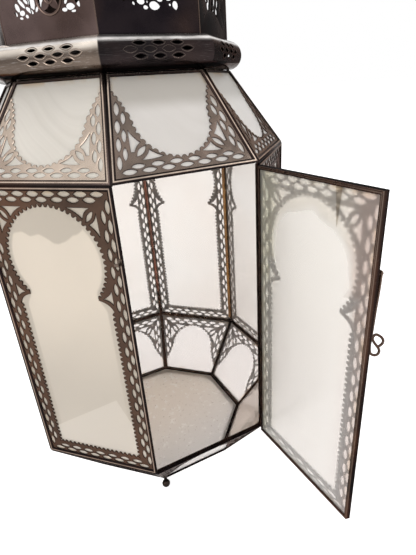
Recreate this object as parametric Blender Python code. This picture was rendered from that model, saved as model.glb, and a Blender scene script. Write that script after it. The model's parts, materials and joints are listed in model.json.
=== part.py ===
"""Eight-sided pierced metal lantern with frosted glass panes, a hinged door and a wire latch.

Metres, +Z up. The origin is the centre of the base plate's underside, on the lantern's axis.
Panel 0 faces -Y and is the door; the panels count anticlockwise seen from above.
"""
import math
from dataclasses import dataclass

import bmesh
import bpy
from mathutils import Matrix, Vector

MM = 0.001
SIDES = 8
STEP = 2 * math.pi / SIDES
HALF_STEP = STEP / 2

# Outer corner radii and heights of the octagonal tiers
BASE_RADIUS = 108 * MM
BODY_RADIUS = 165 * MM
NECK_RADIUS = 111 * MM
GALLERY_RADIUS = 109 * MM
LOWER_HEIGHT = 75 * MM
BODY_HEIGHT = 288 * MM
SHOULDER_HEIGHT = 73 * MM
COLLAR_HEIGHT = 25.5 * MM
COLLAR_BULGE = 12.7 * MM
GALLERY_HEIGHT = 84 * MM
ROLL_HEIGHT = 14 * MM
ROLL_BULGE = 6 * MM
DOME_HEIGHT = 56 * MM
DOME_TOP_RADIUS = 13 * MM
FINIAL_HEIGHT = 34 * MM

# Channel frames that hold each pane
SEAT_GAP = 0.3 * MM
CHANNEL_DEPTH = 5.0 * MM
CHANNEL_WIDTH = 4.6 * MM
CHANNEL_LIP = 0.9 * MM
CHANNEL_BITE = 1.8 * MM
GIRDLE_EXTRA = 1.4 * MM
GROOVE_DEPTH = 1.2 * MM
GLASS_THICKNESS = 1.6 * MM
SHEET_THICKNESS = 0.7 * MM

# Pierced borders, measured from the panel's edge
ROW_OUTER = 6.8 * MM
ROW_INNER = 10.9 * MM
BORDER_WIDTH = 15.7 * MM
HOLE_LENGTH = 19.0 * MM
HOLE_WIDTH = 4.0 * MM
HOLE_PITCH = 80.0 * MM
ROW_END = 19.0 * MM
WEB = 2.4 * MM

# Horseshoe opening of the tall panels: bands beside and above the arch, and its two horns
ARCH_SIDE_BAND = 16.1 * MM
ARCH_TOP_BAND = 14.5 * MM
HORN_REACH = 29.0 * MM
HORN_DROP = 33.5 * MM
HORN_FOOT = 9.0 * MM
SCALLOP_COUNT = 10
SCALLOP_DEPTH = 1.0 * MM

# Round opening of the sloping panels: bands beside and below it, and how far its arms run on
ROUND_SIDE_BAND = 18.3 * MM
ROUND_END_BAND = 14.4 * MM
ROUND_SCALLOP_COUNT = 5
ROUND_RISE = 3.8 * MM
FLARE_RISE = 24.0 * MM

# Piercings beside the openings, measured from the border's inner edge at the corner
CORNER_START = 1.4 * MM
CORNER_SKIP = 5.0 * MM
CORNER_MIDDLE = 14.0 * MM
CORNER_REACH = 22.0 * MM
CORNER_DEPTH = 8.2 * MM
PETAL_OFFSET = 7.2 * MM
PETAL_LENGTH = 10.5 * MM
PETAL_WIDTH = 3.6 * MM

# Base plate and ball feet
PLATE_THICKNESS = 1.6 * MM
PLATE_RIM = 3.0 * MM
SHELF_THICKNESS = 1.4 * MM
SHELF_WIDTH = 9.0 * MM
SHELF_INSET = 2.0 * MM
FOOT_INSET = 2.5 * MM
FOOT_BALL_RADIUS = 4.3 * MM
FOOT_FLAT = 0.34 * MM
FOOT_DROP = 10.4 * MM
FOOT_STEM_RADIUS = 1.9 * MM

# Collar, gallery and dome sheet
SHELL_THICKNESS = 1.2 * MM
FLANGE_WIDTH = 6.0 * MM
EYELET_LENGTH = 6.4 * MM
EYELET_WIDTH = 4.0 * MM
EYELET_PITCH = 16.5 * MM
CARTOUCHE_BAND = 14.6 * MM
MEDALLION_RADIUS = 10.0 * MM
LOBE_LENGTH = 19.0 * MM
LOBE_WIDTH = 11.0 * MM
LOBE_OFFSET = 21.0 * MM
DOME_HOLE_LENGTH = 30.0 * MM
DOME_HOLE_WIDTH = 7.0 * MM

# Door, hinges and latch
DOOR_OPEN = math.radians(92)
DOOR_GAP = 0.9 * MM
HINGE_OFFSET = 2.4 * MM
KNUCKLE_RADIUS = 2.0 * MM
KNUCKLE_LENGTH = 11.0 * MM
HINGE_INSET = 46.0 * MM
PIN_RADIUS = 0.95 * MM
PIN_CLEARANCE = 0.3 * MM
PIN_HEAD_RADIUS = 1.7 * MM
PIN_HEAD_HEIGHT = 1.2 * MM
LEAF_THICKNESS = 0.8 * MM
LEAF_WIDTH = 7.0 * MM
LATCH_HEIGHT = 232.0 * MM
WIRE_RADIUS = 0.7 * MM
SHANK_LENGTH = 54.0 * MM
SHANK_STRAIGHT = 16.0 * MM
SHANK_STANDOFF = 1.5 * MM
CURL_RADIUS = 4.0 * MM
CURL_RISE = 9.4 * MM
TIP_RADIUS = 5.0 * MM
EYE_RADIUS = 3.0 * MM
EYE_THICKNESS = 1.6 * MM
EYE_STANDOFF = 1.9 * MM
RIVET_RADIUS = 1.0 * MM
RIVET_HEAD_RADIUS = 2.6 * MM
RIVET_HEAD_HEIGHT = 1.3 * MM
CATCH_INSET = 2.5 * MM
CATCH_THICKNESS = 1.2 * MM
CATCH_WIDTH = 2.2 * MM
CATCH_FOOT = 6.0 * MM

# Finial and hanging ring
FINIAL_BASE_RADIUS = 11.0 * MM
FINIAL_NECK_RADIUS = 4.0 * MM
EYELET_DISC_RADIUS = 9.0 * MM
EYELET_DISC_THICKNESS = 6.0 * MM
EYELET_HOLE_RADIUS = 3.0 * MM
RING_RADIUS = 21.0 * MM
RING_WIRE_RADIUS = 2.0 * MM
RING_TILT = math.radians(130)

# Heights of the joints between the tiers
GIRDLE_LOW = LOWER_HEIGHT
GIRDLE_HIGH = GIRDLE_LOW + BODY_HEIGHT
NECK_Z = GIRDLE_HIGH + SHOULDER_HEIGHT
GALLERY_LOW = NECK_Z + COLLAR_HEIGHT
GALLERY_HIGH = GALLERY_LOW + GALLERY_HEIGHT
DOME_LOW = GALLERY_HIGH + ROLL_HEIGHT
DOME_HIGH = DOME_LOW + DOME_HEIGHT
EYELET_Z = DOME_HIGH + FINIAL_HEIGHT - EYELET_DISC_RADIUS

BRONZE = ("antique_bronze", (0.115, 0.068, 0.048), 0.42, 0.9)
FILIGREE = ("pierced_bronze", (0.13, 0.078, 0.056), 0.46, 0.85)
PALE_METAL = ("worn_bronze", (0.24, 0.18, 0.15), 0.36, 0.9)
FROSTED = ("frosted_glass", (0.83, 0.81, 0.76), 0.5, 0.0)
BASE_FINISH = ("frosted_base", (0.62, 0.59, 0.55), 0.5, 0.0)
WIRE = ("latch_wire", (0.06, 0.05, 0.045), 0.38, 1.0)


def clear_scene():
    """Remove every object of the open file."""
    for item in list(bpy.data.objects):
        bpy.data.objects.remove(item, do_unlink=True)


def finish(spec):
    """Return the material of a finish, made once."""
    name, colour, roughness, metallic = spec
    material = bpy.data.materials.get(name)
    if material is None:
        material = bpy.data.materials.new(name)
        material.use_nodes = True
        shader = material.node_tree.nodes["Principled BSDF"]
        shader.inputs["Base Color"].default_value = (*colour, 1.0)
        shader.inputs["Roughness"].default_value = roughness
        shader.inputs["Metallic"].default_value = metallic
    return material


def make_object(name, bm, spec=None, parent=None, smooth=None):
    """Turn a bmesh into a named object; without a finish it is a hidden cutter."""
    bmesh.ops.recalc_face_normals(bm, faces=bm.faces)
    mesh = bpy.data.meshes.new(name)
    bm.to_mesh(mesh)
    bm.free()
    item = bpy.data.objects.new(name, mesh)
    bpy.context.scene.collection.objects.link(item)
    if parent is not None:
        item.parent = parent
    if spec is None:
        item.hide_render = True
        item.display_type = 'WIRE'
        return item
    mesh.materials.append(finish(spec))
    if smooth is not None:
        mesh.shade_smooth()
        mesh.set_sharp_from_angle(angle=math.radians(smooth))
    return item


def combine(target, operation, bm):
    """Give a piece a Boolean with a hidden tool solid."""
    tool = make_object(f"{target.name}_{operation.lower()}_{len(target.modifiers)}", bm)
    tool.parent = target.parent
    modifier = target.modifiers.new(tool.name, 'BOOLEAN')
    modifier.operation = operation
    modifier.solver = 'EXACT'
    modifier.object = tool


def corner(index, radius, z):
    """Return a corner of an octagon; corners 0 and 1 bound panel 0."""
    angle = -math.pi / 2 - HALF_STEP + STEP * index
    return Vector((radius * math.cos(angle), radius * math.sin(angle), z))


@dataclass(frozen=True)
class Tier:
    """One octagonal tier, flat or sloping, given by its outer corner radii and heights."""

    low_radius: float
    low_z: float
    high_radius: float
    high_z: float

    @property
    def rise(self):
        return self.high_z - self.low_z

    @property
    def run(self):
        return (self.high_radius - self.low_radius) * math.cos(HALF_STEP)

    @property
    def slant(self):
        return math.hypot(self.rise, self.run)

    def half_width(self, along):
        """Half the panel's width at a distance up its slope."""
        share = along / self.slant
        radius = self.low_radius + (self.high_radius - self.low_radius) * share
        return radius * math.sin(HALF_STEP)

    def side_factor(self):
        """Widening of a margin that is square to the panel's slanted side."""
        lean = self.half_width(self.slant) - self.half_width(0)
        return math.hypot(self.slant, lean) / self.slant

    def frame(self, index):
        """Panel axes: X along the panel, Y up its slope, Z outwards, origin at its foot."""
        angle = -math.pi / 2 + STEP * index
        radial = Vector((math.cos(angle), math.sin(angle), 0))
        across = Vector((-math.sin(angle), math.cos(angle), 0))
        up = (radial * self.run + Vector((0, 0, self.rise))) / self.slant
        origin = radial * self.low_radius * math.cos(HALF_STEP) + Vector((0, 0, self.low_z))
        axes = Matrix((across, up, across.cross(up))).transposed().to_4x4()
        return Matrix.Translation(origin) @ axes

    def inset(self, side, low, high):
        """Outline of the panel drawn in by a margin at its sides and its two ends."""
        margin = side * self.side_factor()
        top = self.slant - high
        return [(-self.half_width(low) + margin, low), (self.half_width(low) - margin, low),
                (self.half_width(top) - margin, top), (-self.half_width(top) + margin, top)]


def shrink(tier, low, high):
    """Return a tier shortened along its own slope at its two ends, in height."""
    def radius(z):
        share = (z - tier.low_z) / tier.rise
        return tier.low_radius + (tier.high_radius - tier.low_radius) * share

    low_z, high_z = tier.low_z + low, tier.high_z - high
    return Tier(radius(low_z), low_z, radius(high_z), high_z)


HALF_GAP = SEAT_GAP / 2
LOWER = shrink(Tier(BASE_RADIUS, 0, BODY_RADIUS, GIRDLE_LOW), SEAT_GAP, HALF_GAP)
BODY = shrink(Tier(BODY_RADIUS, GIRDLE_LOW, BODY_RADIUS, GIRDLE_HIGH), HALF_GAP, HALF_GAP)
SHOULDER = shrink(Tier(BODY_RADIUS, GIRDLE_HIGH, NECK_RADIUS, NECK_Z), HALF_GAP, HALF_GAP)


def add_prism(bm, outline, low, high, matrix=Matrix.Identity(4)):
    """Extrude an outline from one height to another in the axes of a matrix."""
    rings = [[bm.verts.new(matrix @ Vector((x, y, z))) for x, y in outline] for z in (low, high)]
    bm.faces.new(rings[0])
    bm.faces.new(rings[1])
    for index in range(len(outline)):
        bm.faces.new((rings[0][index - 1], rings[0][index], rings[1][index], rings[1][index - 1]))


def add_pierced_sheet(bm, loops, low, high, matrix):
    """Fill an outline with holes as a flat sheet, and give it its thickness."""
    edges = []
    for loop in loops:
        verts = [bm.verts.new((x, y, low)) for x, y in loop]
        edges += [bm.edges.new((verts[i - 1], verts[i])) for i in range(len(verts))]
    filled = bmesh.ops.triangle_fill(bm, use_beauty=True, edges=edges)["geom"]
    faces = [item for item in filled if isinstance(item, bmesh.types.BMFace)]
    sheet_verts = {vert for face in faces for vert in face.verts}
    grown = bmesh.ops.extrude_face_region(bm, geom=faces, use_keep_orig=True)["geom"]
    raised = [item for item in grown if isinstance(item, bmesh.types.BMVert)]
    bmesh.ops.translate(bm, verts=raised, vec=(0, 0, high - low))
    bmesh.ops.transform(bm, matrix=matrix, verts=list(sheet_verts) + raised)


def add_octagon_shell(bm, profile):
    """Turn a closed profile of radius and height round the eight corners."""
    rings = [[bm.verts.new(corner(k, r, z)) for k in range(SIDES)] for r, z in profile]
    for a, b in zip(rings, rings[1:] + rings[:1]):
        for k in range(SIDES):
            n = (k + 1) % SIDES
            bm.faces.new((a[k], a[n], b[n], b[k]))


def add_turned(bm, profile, sides, matrix=Matrix.Identity(4)):
    """Turn a profile round the Z axis of a matrix, closed at both ends by a flat."""
    rings = []
    for radius, z in profile:
        angles = [2 * math.pi * k / sides for k in range(sides)]
        rings.append([bm.verts.new(matrix @ Vector((radius * math.cos(a), radius * math.sin(a), z)))
                      for a in angles])
    for a, b in zip(rings, rings[1:]):
        for k in range(sides):
            n = (k + 1) % sides
            bm.faces.new((a[k], a[n], b[n], b[k]))
    bm.faces.new(rings[0])
    bm.faces.new(rings[-1])


def new_mesh():
    """Return an empty bmesh."""
    return bmesh.new()


def lens(x, y, length, width, angle):
    """Four-pointed lens hole about a point, its length along an angle."""
    c, s = math.cos(angle), math.sin(angle)
    points = [(length / 2, 0), (0, width / 2), (-length / 2, 0), (0, -width / 2)]
    return [(x + u * c - v * s, y + u * s + v * c) for u, v in points]


def spread(start, end, pitch):
    """Evenly spaced places from start to end, at about a pitch."""
    count = max(2, round((end - start) / pitch) + 1)
    return [start + (end - start) * i / (count - 1) for i in range(count)]


def between(places):
    """Midpoints of neighbouring places."""
    return [(a + b) / 2 for a, b in zip(places, places[1:])]


def mirrored(loop):
    """A loop's twin on the other half of the panel."""
    return [(-x, y) for x, y in loop]


def wavy_arc(radius, centre_y, start, end, count, depth):
    """An arc whose edge steps in and out in scallops."""
    points = []
    half_turn = (end - start) / (2 * count)
    sag = radius * (1 - math.cos(half_turn))
    for i in range(2 * count + 1):
        angle = start + half_turn * i
        reach = radius - (sag + depth if i % 2 else 0)
        points.append((reach * math.cos(angle), centre_y + reach * math.sin(angle)))
    return points


def corner_piercings(place, toward):
    """Petal and two three-cornered holes that fill the corner beside an arch."""
    start = BORDER_WIDTH + CORNER_START
    near = start + CORNER_SKIP
    middle = BORDER_WIDTH + CORNER_MIDDLE
    far = BORDER_WIDTH + CORNER_REACH
    depth = BORDER_WIDTH + CORNER_DEPTH
    petal_x, petal_y = place(BORDER_WIDTH + PETAL_OFFSET, BORDER_WIDTH + PETAL_OFFSET)
    petal = lens(petal_x, petal_y, PETAL_LENGTH, PETAL_WIDTH, -toward * math.pi / 4)
    along_end = [place(near, start), place(far, start), place(middle, depth)]
    along_side = [place(start, near), place(start, far), place(depth, middle)]
    return [petal, along_end, along_side]


def tall_panel_loops(half_width, height, margin):
    """Outline and holes of a tall panel's filigree: border rows, horned arch and corners."""
    outline = [(-half_width + margin, margin), (half_width - margin, margin),
               (half_width - margin, height - margin), (-half_width + margin, height - margin)]
    inner_x = half_width - BORDER_WIDTH
    radius = half_width - ARCH_SIDE_BAND
    centre_y = height - ARCH_TOP_BAND - radius
    tip = (half_width - HORN_REACH, centre_y - HORN_DROP)
    tip_angle = math.atan2(tip[1] - centre_y, tip[0])
    arc = wavy_arc(radius, centre_y, tip_angle, math.pi - tip_angle, SCALLOP_COUNT, SCALLOP_DEPTH)
    foot_y = tip[1] - HORN_FOOT
    mid_x = inner_x - (inner_x - tip[0]) * 0.35
    horn = [(inner_x, foot_y), (mid_x, tip[1] - HORN_FOOT * 0.3), (tip[0], tip[1] - WEB / 2)]
    opening = [(-inner_x, BORDER_WIDTH), (inner_x, BORDER_WIDTH), *horn, *arc[1:-1],
               *reversed(mirrored(horn))]
    loops = [outline, opening]
    horn_hole = [(inner_x, tip[1] - WEB), (inner_x, tip[1] + HORN_FOOT),
                 (tip[0] + 2.2 * WEB, tip[1] + WEB * 0.7)]
    right = [horn_hole, *corner_piercings(lambda x, y: (half_width - x, height - y), -1)]
    rows = spread(ROW_END, height - ROW_END, HOLE_PITCH)
    for inset, places in ((ROW_OUTER, rows), (ROW_INNER, between(rows))):
        right += [lens(half_width - inset, y, HOLE_LENGTH, HOLE_WIDTH, math.pi / 2) for y in places]
    for loop in right:
        loops += [loop, mirrored(loop)]
    ends = spread(-half_width + ROW_END, half_width - ROW_END, HOLE_PITCH)
    for inset, places in ((ROW_OUTER, ends), (ROW_INNER, between(ends))):
        for x in places:
            loops.append(lens(x, inset, HOLE_LENGTH, HOLE_WIDTH, 0))
            loops.append(lens(x, height - inset, HOLE_LENGTH, HOLE_WIDTH, 0))
    return loops


def sloping_panel_loops(tier, wide_end_up, margin):
    """Filigree of a sloping panel: a U-shaped sheet whose arms run out along the sides."""
    length = tier.slant

    def half(from_wide):
        return tier.half_width(length - from_wide if wide_end_up else from_wide)

    factor = tier.side_factor()
    lean = (half(0) - half(length)) / length
    radius = (half(ROUND_END_BAND) - ROUND_SIDE_BAND) / (1 + lean)
    centre_y = ROUND_END_BAND + radius
    arc_end = math.asin(ROUND_RISE / radius)
    arc = wavy_arc(radius, centre_y, arc_end, -math.pi - arc_end, ROUND_SCALLOP_COUNT, SCALLOP_DEPTH)
    flare_end = centre_y + FLARE_RISE
    tip_x = half(flare_end) - margin * factor
    end_margin = margin + GIRDLE_EXTRA
    right_arm = [(half(end_margin) - margin * factor, end_margin), (tip_x, flare_end),
                 (tip_x - WEB, flare_end - WEB)]
    outline = [*mirrored(right_arm)[::-1], *right_arm, *arc]
    loops = [outline[2:] + outline[:2]]
    for loop in corner_piercings(lambda x, y: (half(y) - x * factor, y), 1):
        loops += [loop, mirrored(loop)]
    ends = spread(-half(0) + ROW_END, half(0) - ROW_END, HOLE_PITCH)
    for inset, places in ((ROW_OUTER, ends), (ROW_INNER, between(ends))):
        for x in places:
            loops.append(lens(x, inset + GIRDLE_EXTRA / 2, HOLE_LENGTH, HOLE_WIDTH, 0))
    if wide_end_up:
        return [[(x, length - y) for x, y in loop] for loop in loops]
    return loops


def pane_levels():
    """Depths of the filigree and the glass inside the channel, outwards positive."""
    sheet_out = -CHANNEL_LIP - SEAT_GAP
    sheet_in = sheet_out - SHEET_THICKNESS
    glass_out = sheet_in - SEAT_GAP
    glass_in = glass_out - GLASS_THICKNESS
    return sheet_in, sheet_out, glass_in, glass_out


def channel_margins(low_extra, high_extra):
    """Window and slot margins of a channel frame, wider where a sloping tier meets the girdle."""
    window = (CHANNEL_WIDTH, CHANNEL_WIDTH + low_extra, CHANNEL_WIDTH + high_extra)
    slot_margin = CHANNEL_WIDTH - CHANNEL_BITE
    slot = (slot_margin, slot_margin + low_extra, slot_margin + high_extra)
    return window, slot


def pane_margins(low_extra, high_extra):
    """Margins of a pane that sits in its slot with the seat gap round it."""
    margin = CHANNEL_WIDTH - CHANNEL_BITE + SEAT_GAP
    return margin, margin + low_extra, margin + high_extra


def grooved_corner(index, radius, z):
    """A corner of the octagon with a V-shaped groove between the two channels that meet there."""
    tip = corner(index, radius, z)
    reach = GROOVE_DEPTH / (math.cos(HALF_STEP) + math.sin(HALF_STEP))
    sides = [(corner(index + turn, radius, z) - tip).normalized() * reach for turn in (-1, 1)]
    return [tip + sides[0], corner(index, radius - GROOVE_DEPTH, z), tip + sides[1]]


def add_channel_wall(bm, tier, depth):
    """Octagonal wall of a tier, grooved down its outer corners."""
    ends = ((tier.low_radius, tier.low_z), (tier.high_radius, tier.high_z))
    outer = [[[bm.verts.new(point) for point in grooved_corner(k, r, z)] for k in range(SIDES)]
             for r, z in ends]
    inner = [[bm.verts.new(corner(k, r - depth, z)) for k in range(SIDES)] for r, z in ends]
    for k in range(SIDES):
        n = (k + 1) % SIDES
        (a, b), (c, d) = (outer[0][k][2], outer[0][n][0]), (outer[1][k][2], outer[1][n][0])
        bm.faces.new((a, b, d, c))
        bm.faces.new((inner[0][k], inner[0][n], inner[1][n], inner[1][k]))
        for i in (0, 1):
            bm.faces.new((outer[0][k][i], outer[0][k][i + 1], outer[1][k][i + 1], outer[1][k][i]))
        for end in (0, 1):
            bm.faces.new((*outer[end][k], inner[end][k]))
            bm.faces.new((outer[end][k][2], outer[end][n][0], inner[end][n], inner[end][k]))


def build_channel_frame(name, tier, panels, low_extra, high_extra):
    """Frame of soldered channels: an octagonal wall with windows, pane slots and grooves."""
    depth = CHANNEL_DEPTH * tier.slant / tier.rise / math.cos(HALF_STEP)
    bm = new_mesh()
    add_channel_wall(bm, tier, depth)
    item = make_object(name, bm, BRONZE)
    window, slot = channel_margins(low_extra, high_extra)
    windows, slots = new_mesh(), new_mesh()
    _, _, glass_in, _ = pane_levels()
    for k in panels:
        add_prism(windows, tier.inset(*window), -CHANNEL_DEPTH * 1.5, CHANNEL_DEPTH, tier.frame(k))
        add_prism(slots, tier.inset(*slot), glass_in - SEAT_GAP, -CHANNEL_LIP, tier.frame(k))
    combine(item, 'DIFFERENCE', windows)
    combine(item, 'DIFFERENCE', slots)
    return item


def build_pane(name, tier, index, extras, parent=None, shift=Matrix.Identity(4)):
    """Frosted glass pane of one panel."""
    _, _, glass_in, glass_out = pane_levels()
    bm = new_mesh()
    add_prism(bm, tier.inset(*pane_margins(*extras)), glass_in, glass_out, shift @ tier.frame(index))
    return make_object(name, bm, FROSTED, parent)


def build_tall_filigree(name, index, parent=None, shift=Matrix.Identity(4), trim=0.0):
    """Pierced sheet of one tall panel, in front of its glass."""
    sheet_in, sheet_out, _, _ = pane_levels()
    margin = pane_margins(0, 0)[0] + trim
    bm = new_mesh()
    loops = tall_panel_loops(BODY.half_width(0), BODY.slant, margin)
    add_pierced_sheet(bm, loops, sheet_in, sheet_out, shift @ BODY.frame(index))
    return make_object(name, bm, FILIGREE, parent)


def build_shoulder():
    """Sloping shoulder above the body: frame, panes and filigree."""
    extras = (GIRDLE_EXTRA, 0)
    build_channel_frame("shoulder_frame", SHOULDER, range(SIDES), *extras)
    sheet_in, sheet_out, _, _ = pane_levels()
    for k in range(SIDES):
        build_pane(f"shoulder_glass_{k}", SHOULDER, k, extras)
        bm = new_mesh()
        loops = sloping_panel_loops(SHOULDER, False, pane_margins(0, 0)[0])
        add_pierced_sheet(bm, loops, sheet_in, sheet_out, SHOULDER.frame(k))
        make_object(f"shoulder_filigree_{k}", bm, FILIGREE)


def build_lower_band():
    """Sloping band below the body; its filigree is soldered into the frame."""
    extras = (0, GIRDLE_EXTRA)
    item = build_channel_frame("lower_frame", LOWER, range(SIDES), *extras)
    sheet_in, sheet_out, _, _ = pane_levels()
    margin = CHANNEL_WIDTH - CHANNEL_BITE * 0.45
    filigree = new_mesh()
    for k in range(SIDES):
        loops = sloping_panel_loops(LOWER, True, margin)
        add_pierced_sheet(filigree, loops, sheet_in, sheet_out + 2 * SEAT_GAP, LOWER.frame(k))
        build_pane(f"lower_glass_{k}", LOWER, k, extras)
    combine(item, 'UNION', filigree)
    low, high = LOWER.low_z + SEAT_GAP, LOWER.low_z + SHELF_THICKNESS
    shelf = new_mesh()
    outer = BASE_RADIUS - SHELF_INSET
    add_octagon_shell(shelf, [(outer, low), (outer, high), (BASE_RADIUS - SHELF_WIDTH, high),
                              (BASE_RADIUS - SHELF_WIDTH, low)])
    combine(item, 'UNION', shelf)


def build_base_plate():
    """Stepped octagonal plate whose rim rests on the base ring's shelf."""
    shelf_top = LOWER.low_z + SHELF_THICKNESS + SEAT_GAP
    inner = BASE_RADIUS - SHELF_WIDTH - SEAT_GAP
    rim = inner + PLATE_RIM
    top = shelf_top + PLATE_THICKNESS
    bm = new_mesh()
    rings = [(inner, 0), (inner, shelf_top), (rim, shelf_top), (rim, top)]
    loops = [[bm.verts.new(corner(k, r, z)) for k in range(SIDES)] for r, z in rings]
    for a, b in zip(loops, loops[1:]):
        for k in range(SIDES):
            n = (k + 1) % SIDES
            bm.faces.new((a[k], a[n], b[n], b[k]))
    bm.faces.new(loops[0])
    bm.faces.new(loops[-1])
    make_object("base_plate", bm, BASE_FINISH)


def build_feet():
    """Four ball feet under every second corner of the base ring."""
    bottom = FOOT_BALL_RADIUS - FOOT_FLAT
    ball = [(math.sqrt(FOOT_BALL_RADIUS ** 2 - z * z), z) for z in
            (-bottom, -0.72 * bottom, -0.3 * bottom, 0.3 * bottom, 0.72 * bottom)]
    top = FOOT_DROP + LOWER.low_z - SEAT_GAP
    profile = [*ball, (FOOT_STEM_RADIUS, FOOT_BALL_RADIUS * 0.98), (FOOT_STEM_RADIUS, top)]
    for name, k in (("front_left", 0), ("right", 2), ("back_right", 4), ("left", 6)):
        bm = new_mesh()
        place = corner(k, BASE_RADIUS - FOOT_INSET, -FOOT_DROP)
        add_turned(bm, profile, 8, Matrix.Translation(place))
        make_object(f"ball_foot_{name}", bm, BRONZE, smooth=50)


def build_body():
    """Seven fixed tall panels in one C-shaped frame, open at the door."""
    item = build_channel_frame("body_frame", BODY, range(1, SIDES), 0, 0)
    opening = new_mesh()
    far = 2 * BODY_RADIUS
    wedge = [(0, 0), corner(0, far, 0)[:2], corner(1, far, 0)[:2]]
    add_prism(opening, wedge, GIRDLE_LOW - CHANNEL_DEPTH, GIRDLE_HIGH + CHANNEL_DEPTH)
    combine(item, 'DIFFERENCE', opening)
    for k in range(1, SIDES):
        build_pane(f"body_glass_{k}", BODY, k, (0, 0))
        build_tall_filigree(f"body_filigree_{k}", k)
    return item


def hinge_axis():
    """Point of the hinge axis, outside corner 1, at the body's foot."""
    return corner(1, BODY_RADIUS + HINGE_OFFSET, BODY.low_z)


def hinge_heights():
    """Heights of the two hinges' lower ends."""
    return BODY.low_z + HINGE_INSET, BODY.high_z - HINGE_INSET - 2 * KNUCKLE_LENGTH


def leaf_outline(start, end, low, high):
    """Rectangle of a hinge leaf on its panel."""
    return [(start, low), (end, low), (end, high), (start, high)]


def add_hinge_half(item, origin, index, edge_sign, offset):
    """Solder a knuckle and its leaf to a frame, and bore the knuckle for the pin."""
    leaves, bores, knuckles = new_mesh(), new_mesh(), new_mesh()
    axis = hinge_axis() - origin
    panel = Matrix.Translation(-origin) @ BODY.frame(index)
    edge = edge_sign * BODY.half_width(0)
    for height in hinge_heights():
        low = height + offset + HALF_GAP
        high = low + KNUCKLE_LENGTH - SEAT_GAP
        centre = Vector((axis.x, axis.y, 0))
        z_shift = -origin.z
        add_turned(knuckles, [(KNUCKLE_RADIUS, low + z_shift), (KNUCKLE_RADIUS, high + z_shift)], 12,
                   Matrix.Translation(centre))
        add_turned(bores, [(PIN_RADIUS + PIN_CLEARANCE, low + z_shift - SEAT_GAP),
                           (PIN_RADIUS + PIN_CLEARANCE, high + z_shift + SEAT_GAP)], 12,
                   Matrix.Translation(centre))
        outline = leaf_outline(edge, edge - edge_sign * LEAF_WIDTH, low - BODY.low_z, high - BODY.low_z)
        add_prism(leaves, outline, -CHANNEL_LIP / 2, LEAF_THICKNESS, panel)
    combine(item, 'UNION', leaves)
    combine(item, 'UNION', knuckles)
    combine(item, 'DIFFERENCE', bores)


def build_hinge_pins():
    """Headed pins that drop through both knuckles of each hinge."""
    for name, height in zip(("lower", "upper"), hinge_heights()):
        top = height + 2 * KNUCKLE_LENGTH + HALF_GAP
        axis = hinge_axis()
        bm = new_mesh()
        profile = [(PIN_RADIUS, height), (PIN_RADIUS, top), (PIN_HEAD_RADIUS, top),
                   (PIN_HEAD_RADIUS * 0.7, top + PIN_HEAD_HEIGHT)]
        add_turned(bm, profile, 10, Matrix.Translation((axis.x, axis.y, 0)))
        make_object(f"hinge_pin_{name}", bm, WIRE, smooth=40)


def make_pivot(name, place, parent=None, turn=0.0):
    """Empty on a joint's axis."""
    pivot = bpy.data.objects.new(name, None)
    bpy.context.scene.collection.objects.link(pivot)
    pivot.location = place
    pivot.rotation_euler = (0, 0, turn)
    pivot.parent = parent
    return pivot


def door_outline():
    """Plan of the door: its stiles are mitred so that it closes between the posts."""
    half = BODY.half_width(0) - DOOR_GAP
    inner = half - CHANNEL_DEPTH * math.tan(HALF_STEP)
    return half, inner


def build_door():
    """Door on its hinges: frame, glass, filigree, latch rivet and hook."""
    axis = hinge_axis()
    pivot = make_pivot("door_pivot", axis, turn=DOOR_OPEN)
    shift = Matrix.Translation(-axis)
    panel = shift @ BODY.frame(0)
    half, inner = door_outline()
    low, high = DOOR_GAP, BODY.slant - DOOR_GAP
    bm = new_mesh()
    section = [(half, 0), (inner, -CHANNEL_DEPTH), (-inner, -CHANNEL_DEPTH), (-half, 0)]
    turned = panel @ Matrix(((1, 0, 0, 0), (0, 0, 1, 0), (0, 1, 0, 0), (0, 0, 0, 1)))
    add_prism(bm, section, low, high, turned)
    frame = make_object("door_frame", bm, BRONZE, pivot)
    window, slot = channel_margins(DOOR_GAP, DOOR_GAP)
    windows, slots = new_mesh(), new_mesh()
    _, _, glass_in, _ = pane_levels()
    add_prism(windows, BODY.inset(window[0] + DOOR_GAP, *window[1:]), -2 * CHANNEL_DEPTH, CHANNEL_DEPTH,
              panel)
    add_prism(slots, BODY.inset(slot[0] + DOOR_GAP, *slot[1:]), glass_in - SEAT_GAP, -CHANNEL_LIP, panel)
    combine(frame, 'DIFFERENCE', windows)
    combine(frame, 'DIFFERENCE', slots)
    add_hinge_half(frame, axis, 0, 1, KNUCKLE_LENGTH)
    margins = [value + DOOR_GAP for value in pane_margins(0, 0)]
    _, _, glass_in, glass_out = pane_levels()
    glass = new_mesh()
    add_prism(glass, BODY.inset(*margins), glass_in, glass_out, panel)
    make_object("door_glass", glass, FROSTED, pivot)
    build_tall_filigree("door_filigree", 0, pivot, shift, DOOR_GAP)
    build_latch(pivot, panel)


def latch_place():
    """Centre of the latch rivet on the door's free stile, in panel axes."""
    return -BODY.half_width(0) + DOOR_GAP + CHANNEL_WIDTH / 2, LATCH_HEIGHT


def add_tube(bm, points, radius, sides, matrix):
    """Round wire through points that lie in the matrix's YZ plane."""
    rings = []
    for i, point in enumerate(points):
        ahead = points[min(i + 1, len(points) - 1)]
        behind = points[max(i - 1, 0)]
        along = (ahead - behind).normalized()
        across = Vector((1, 0, 0))
        third = along.cross(across).normalized()
        angles = [2 * math.pi * k / sides for k in range(sides)]
        rings.append([bm.verts.new(matrix @ (point + radius * (math.cos(a) * across + math.sin(a) * third)))
                      for a in angles])
    for a, b in zip(rings, rings[1:]):
        for k in range(sides):
            n = (k + 1) % sides
            bm.faces.new((a[k], a[n], b[n], b[k]))
    bm.faces.new(rings[0])
    bm.faces.new(rings[-1])


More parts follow.
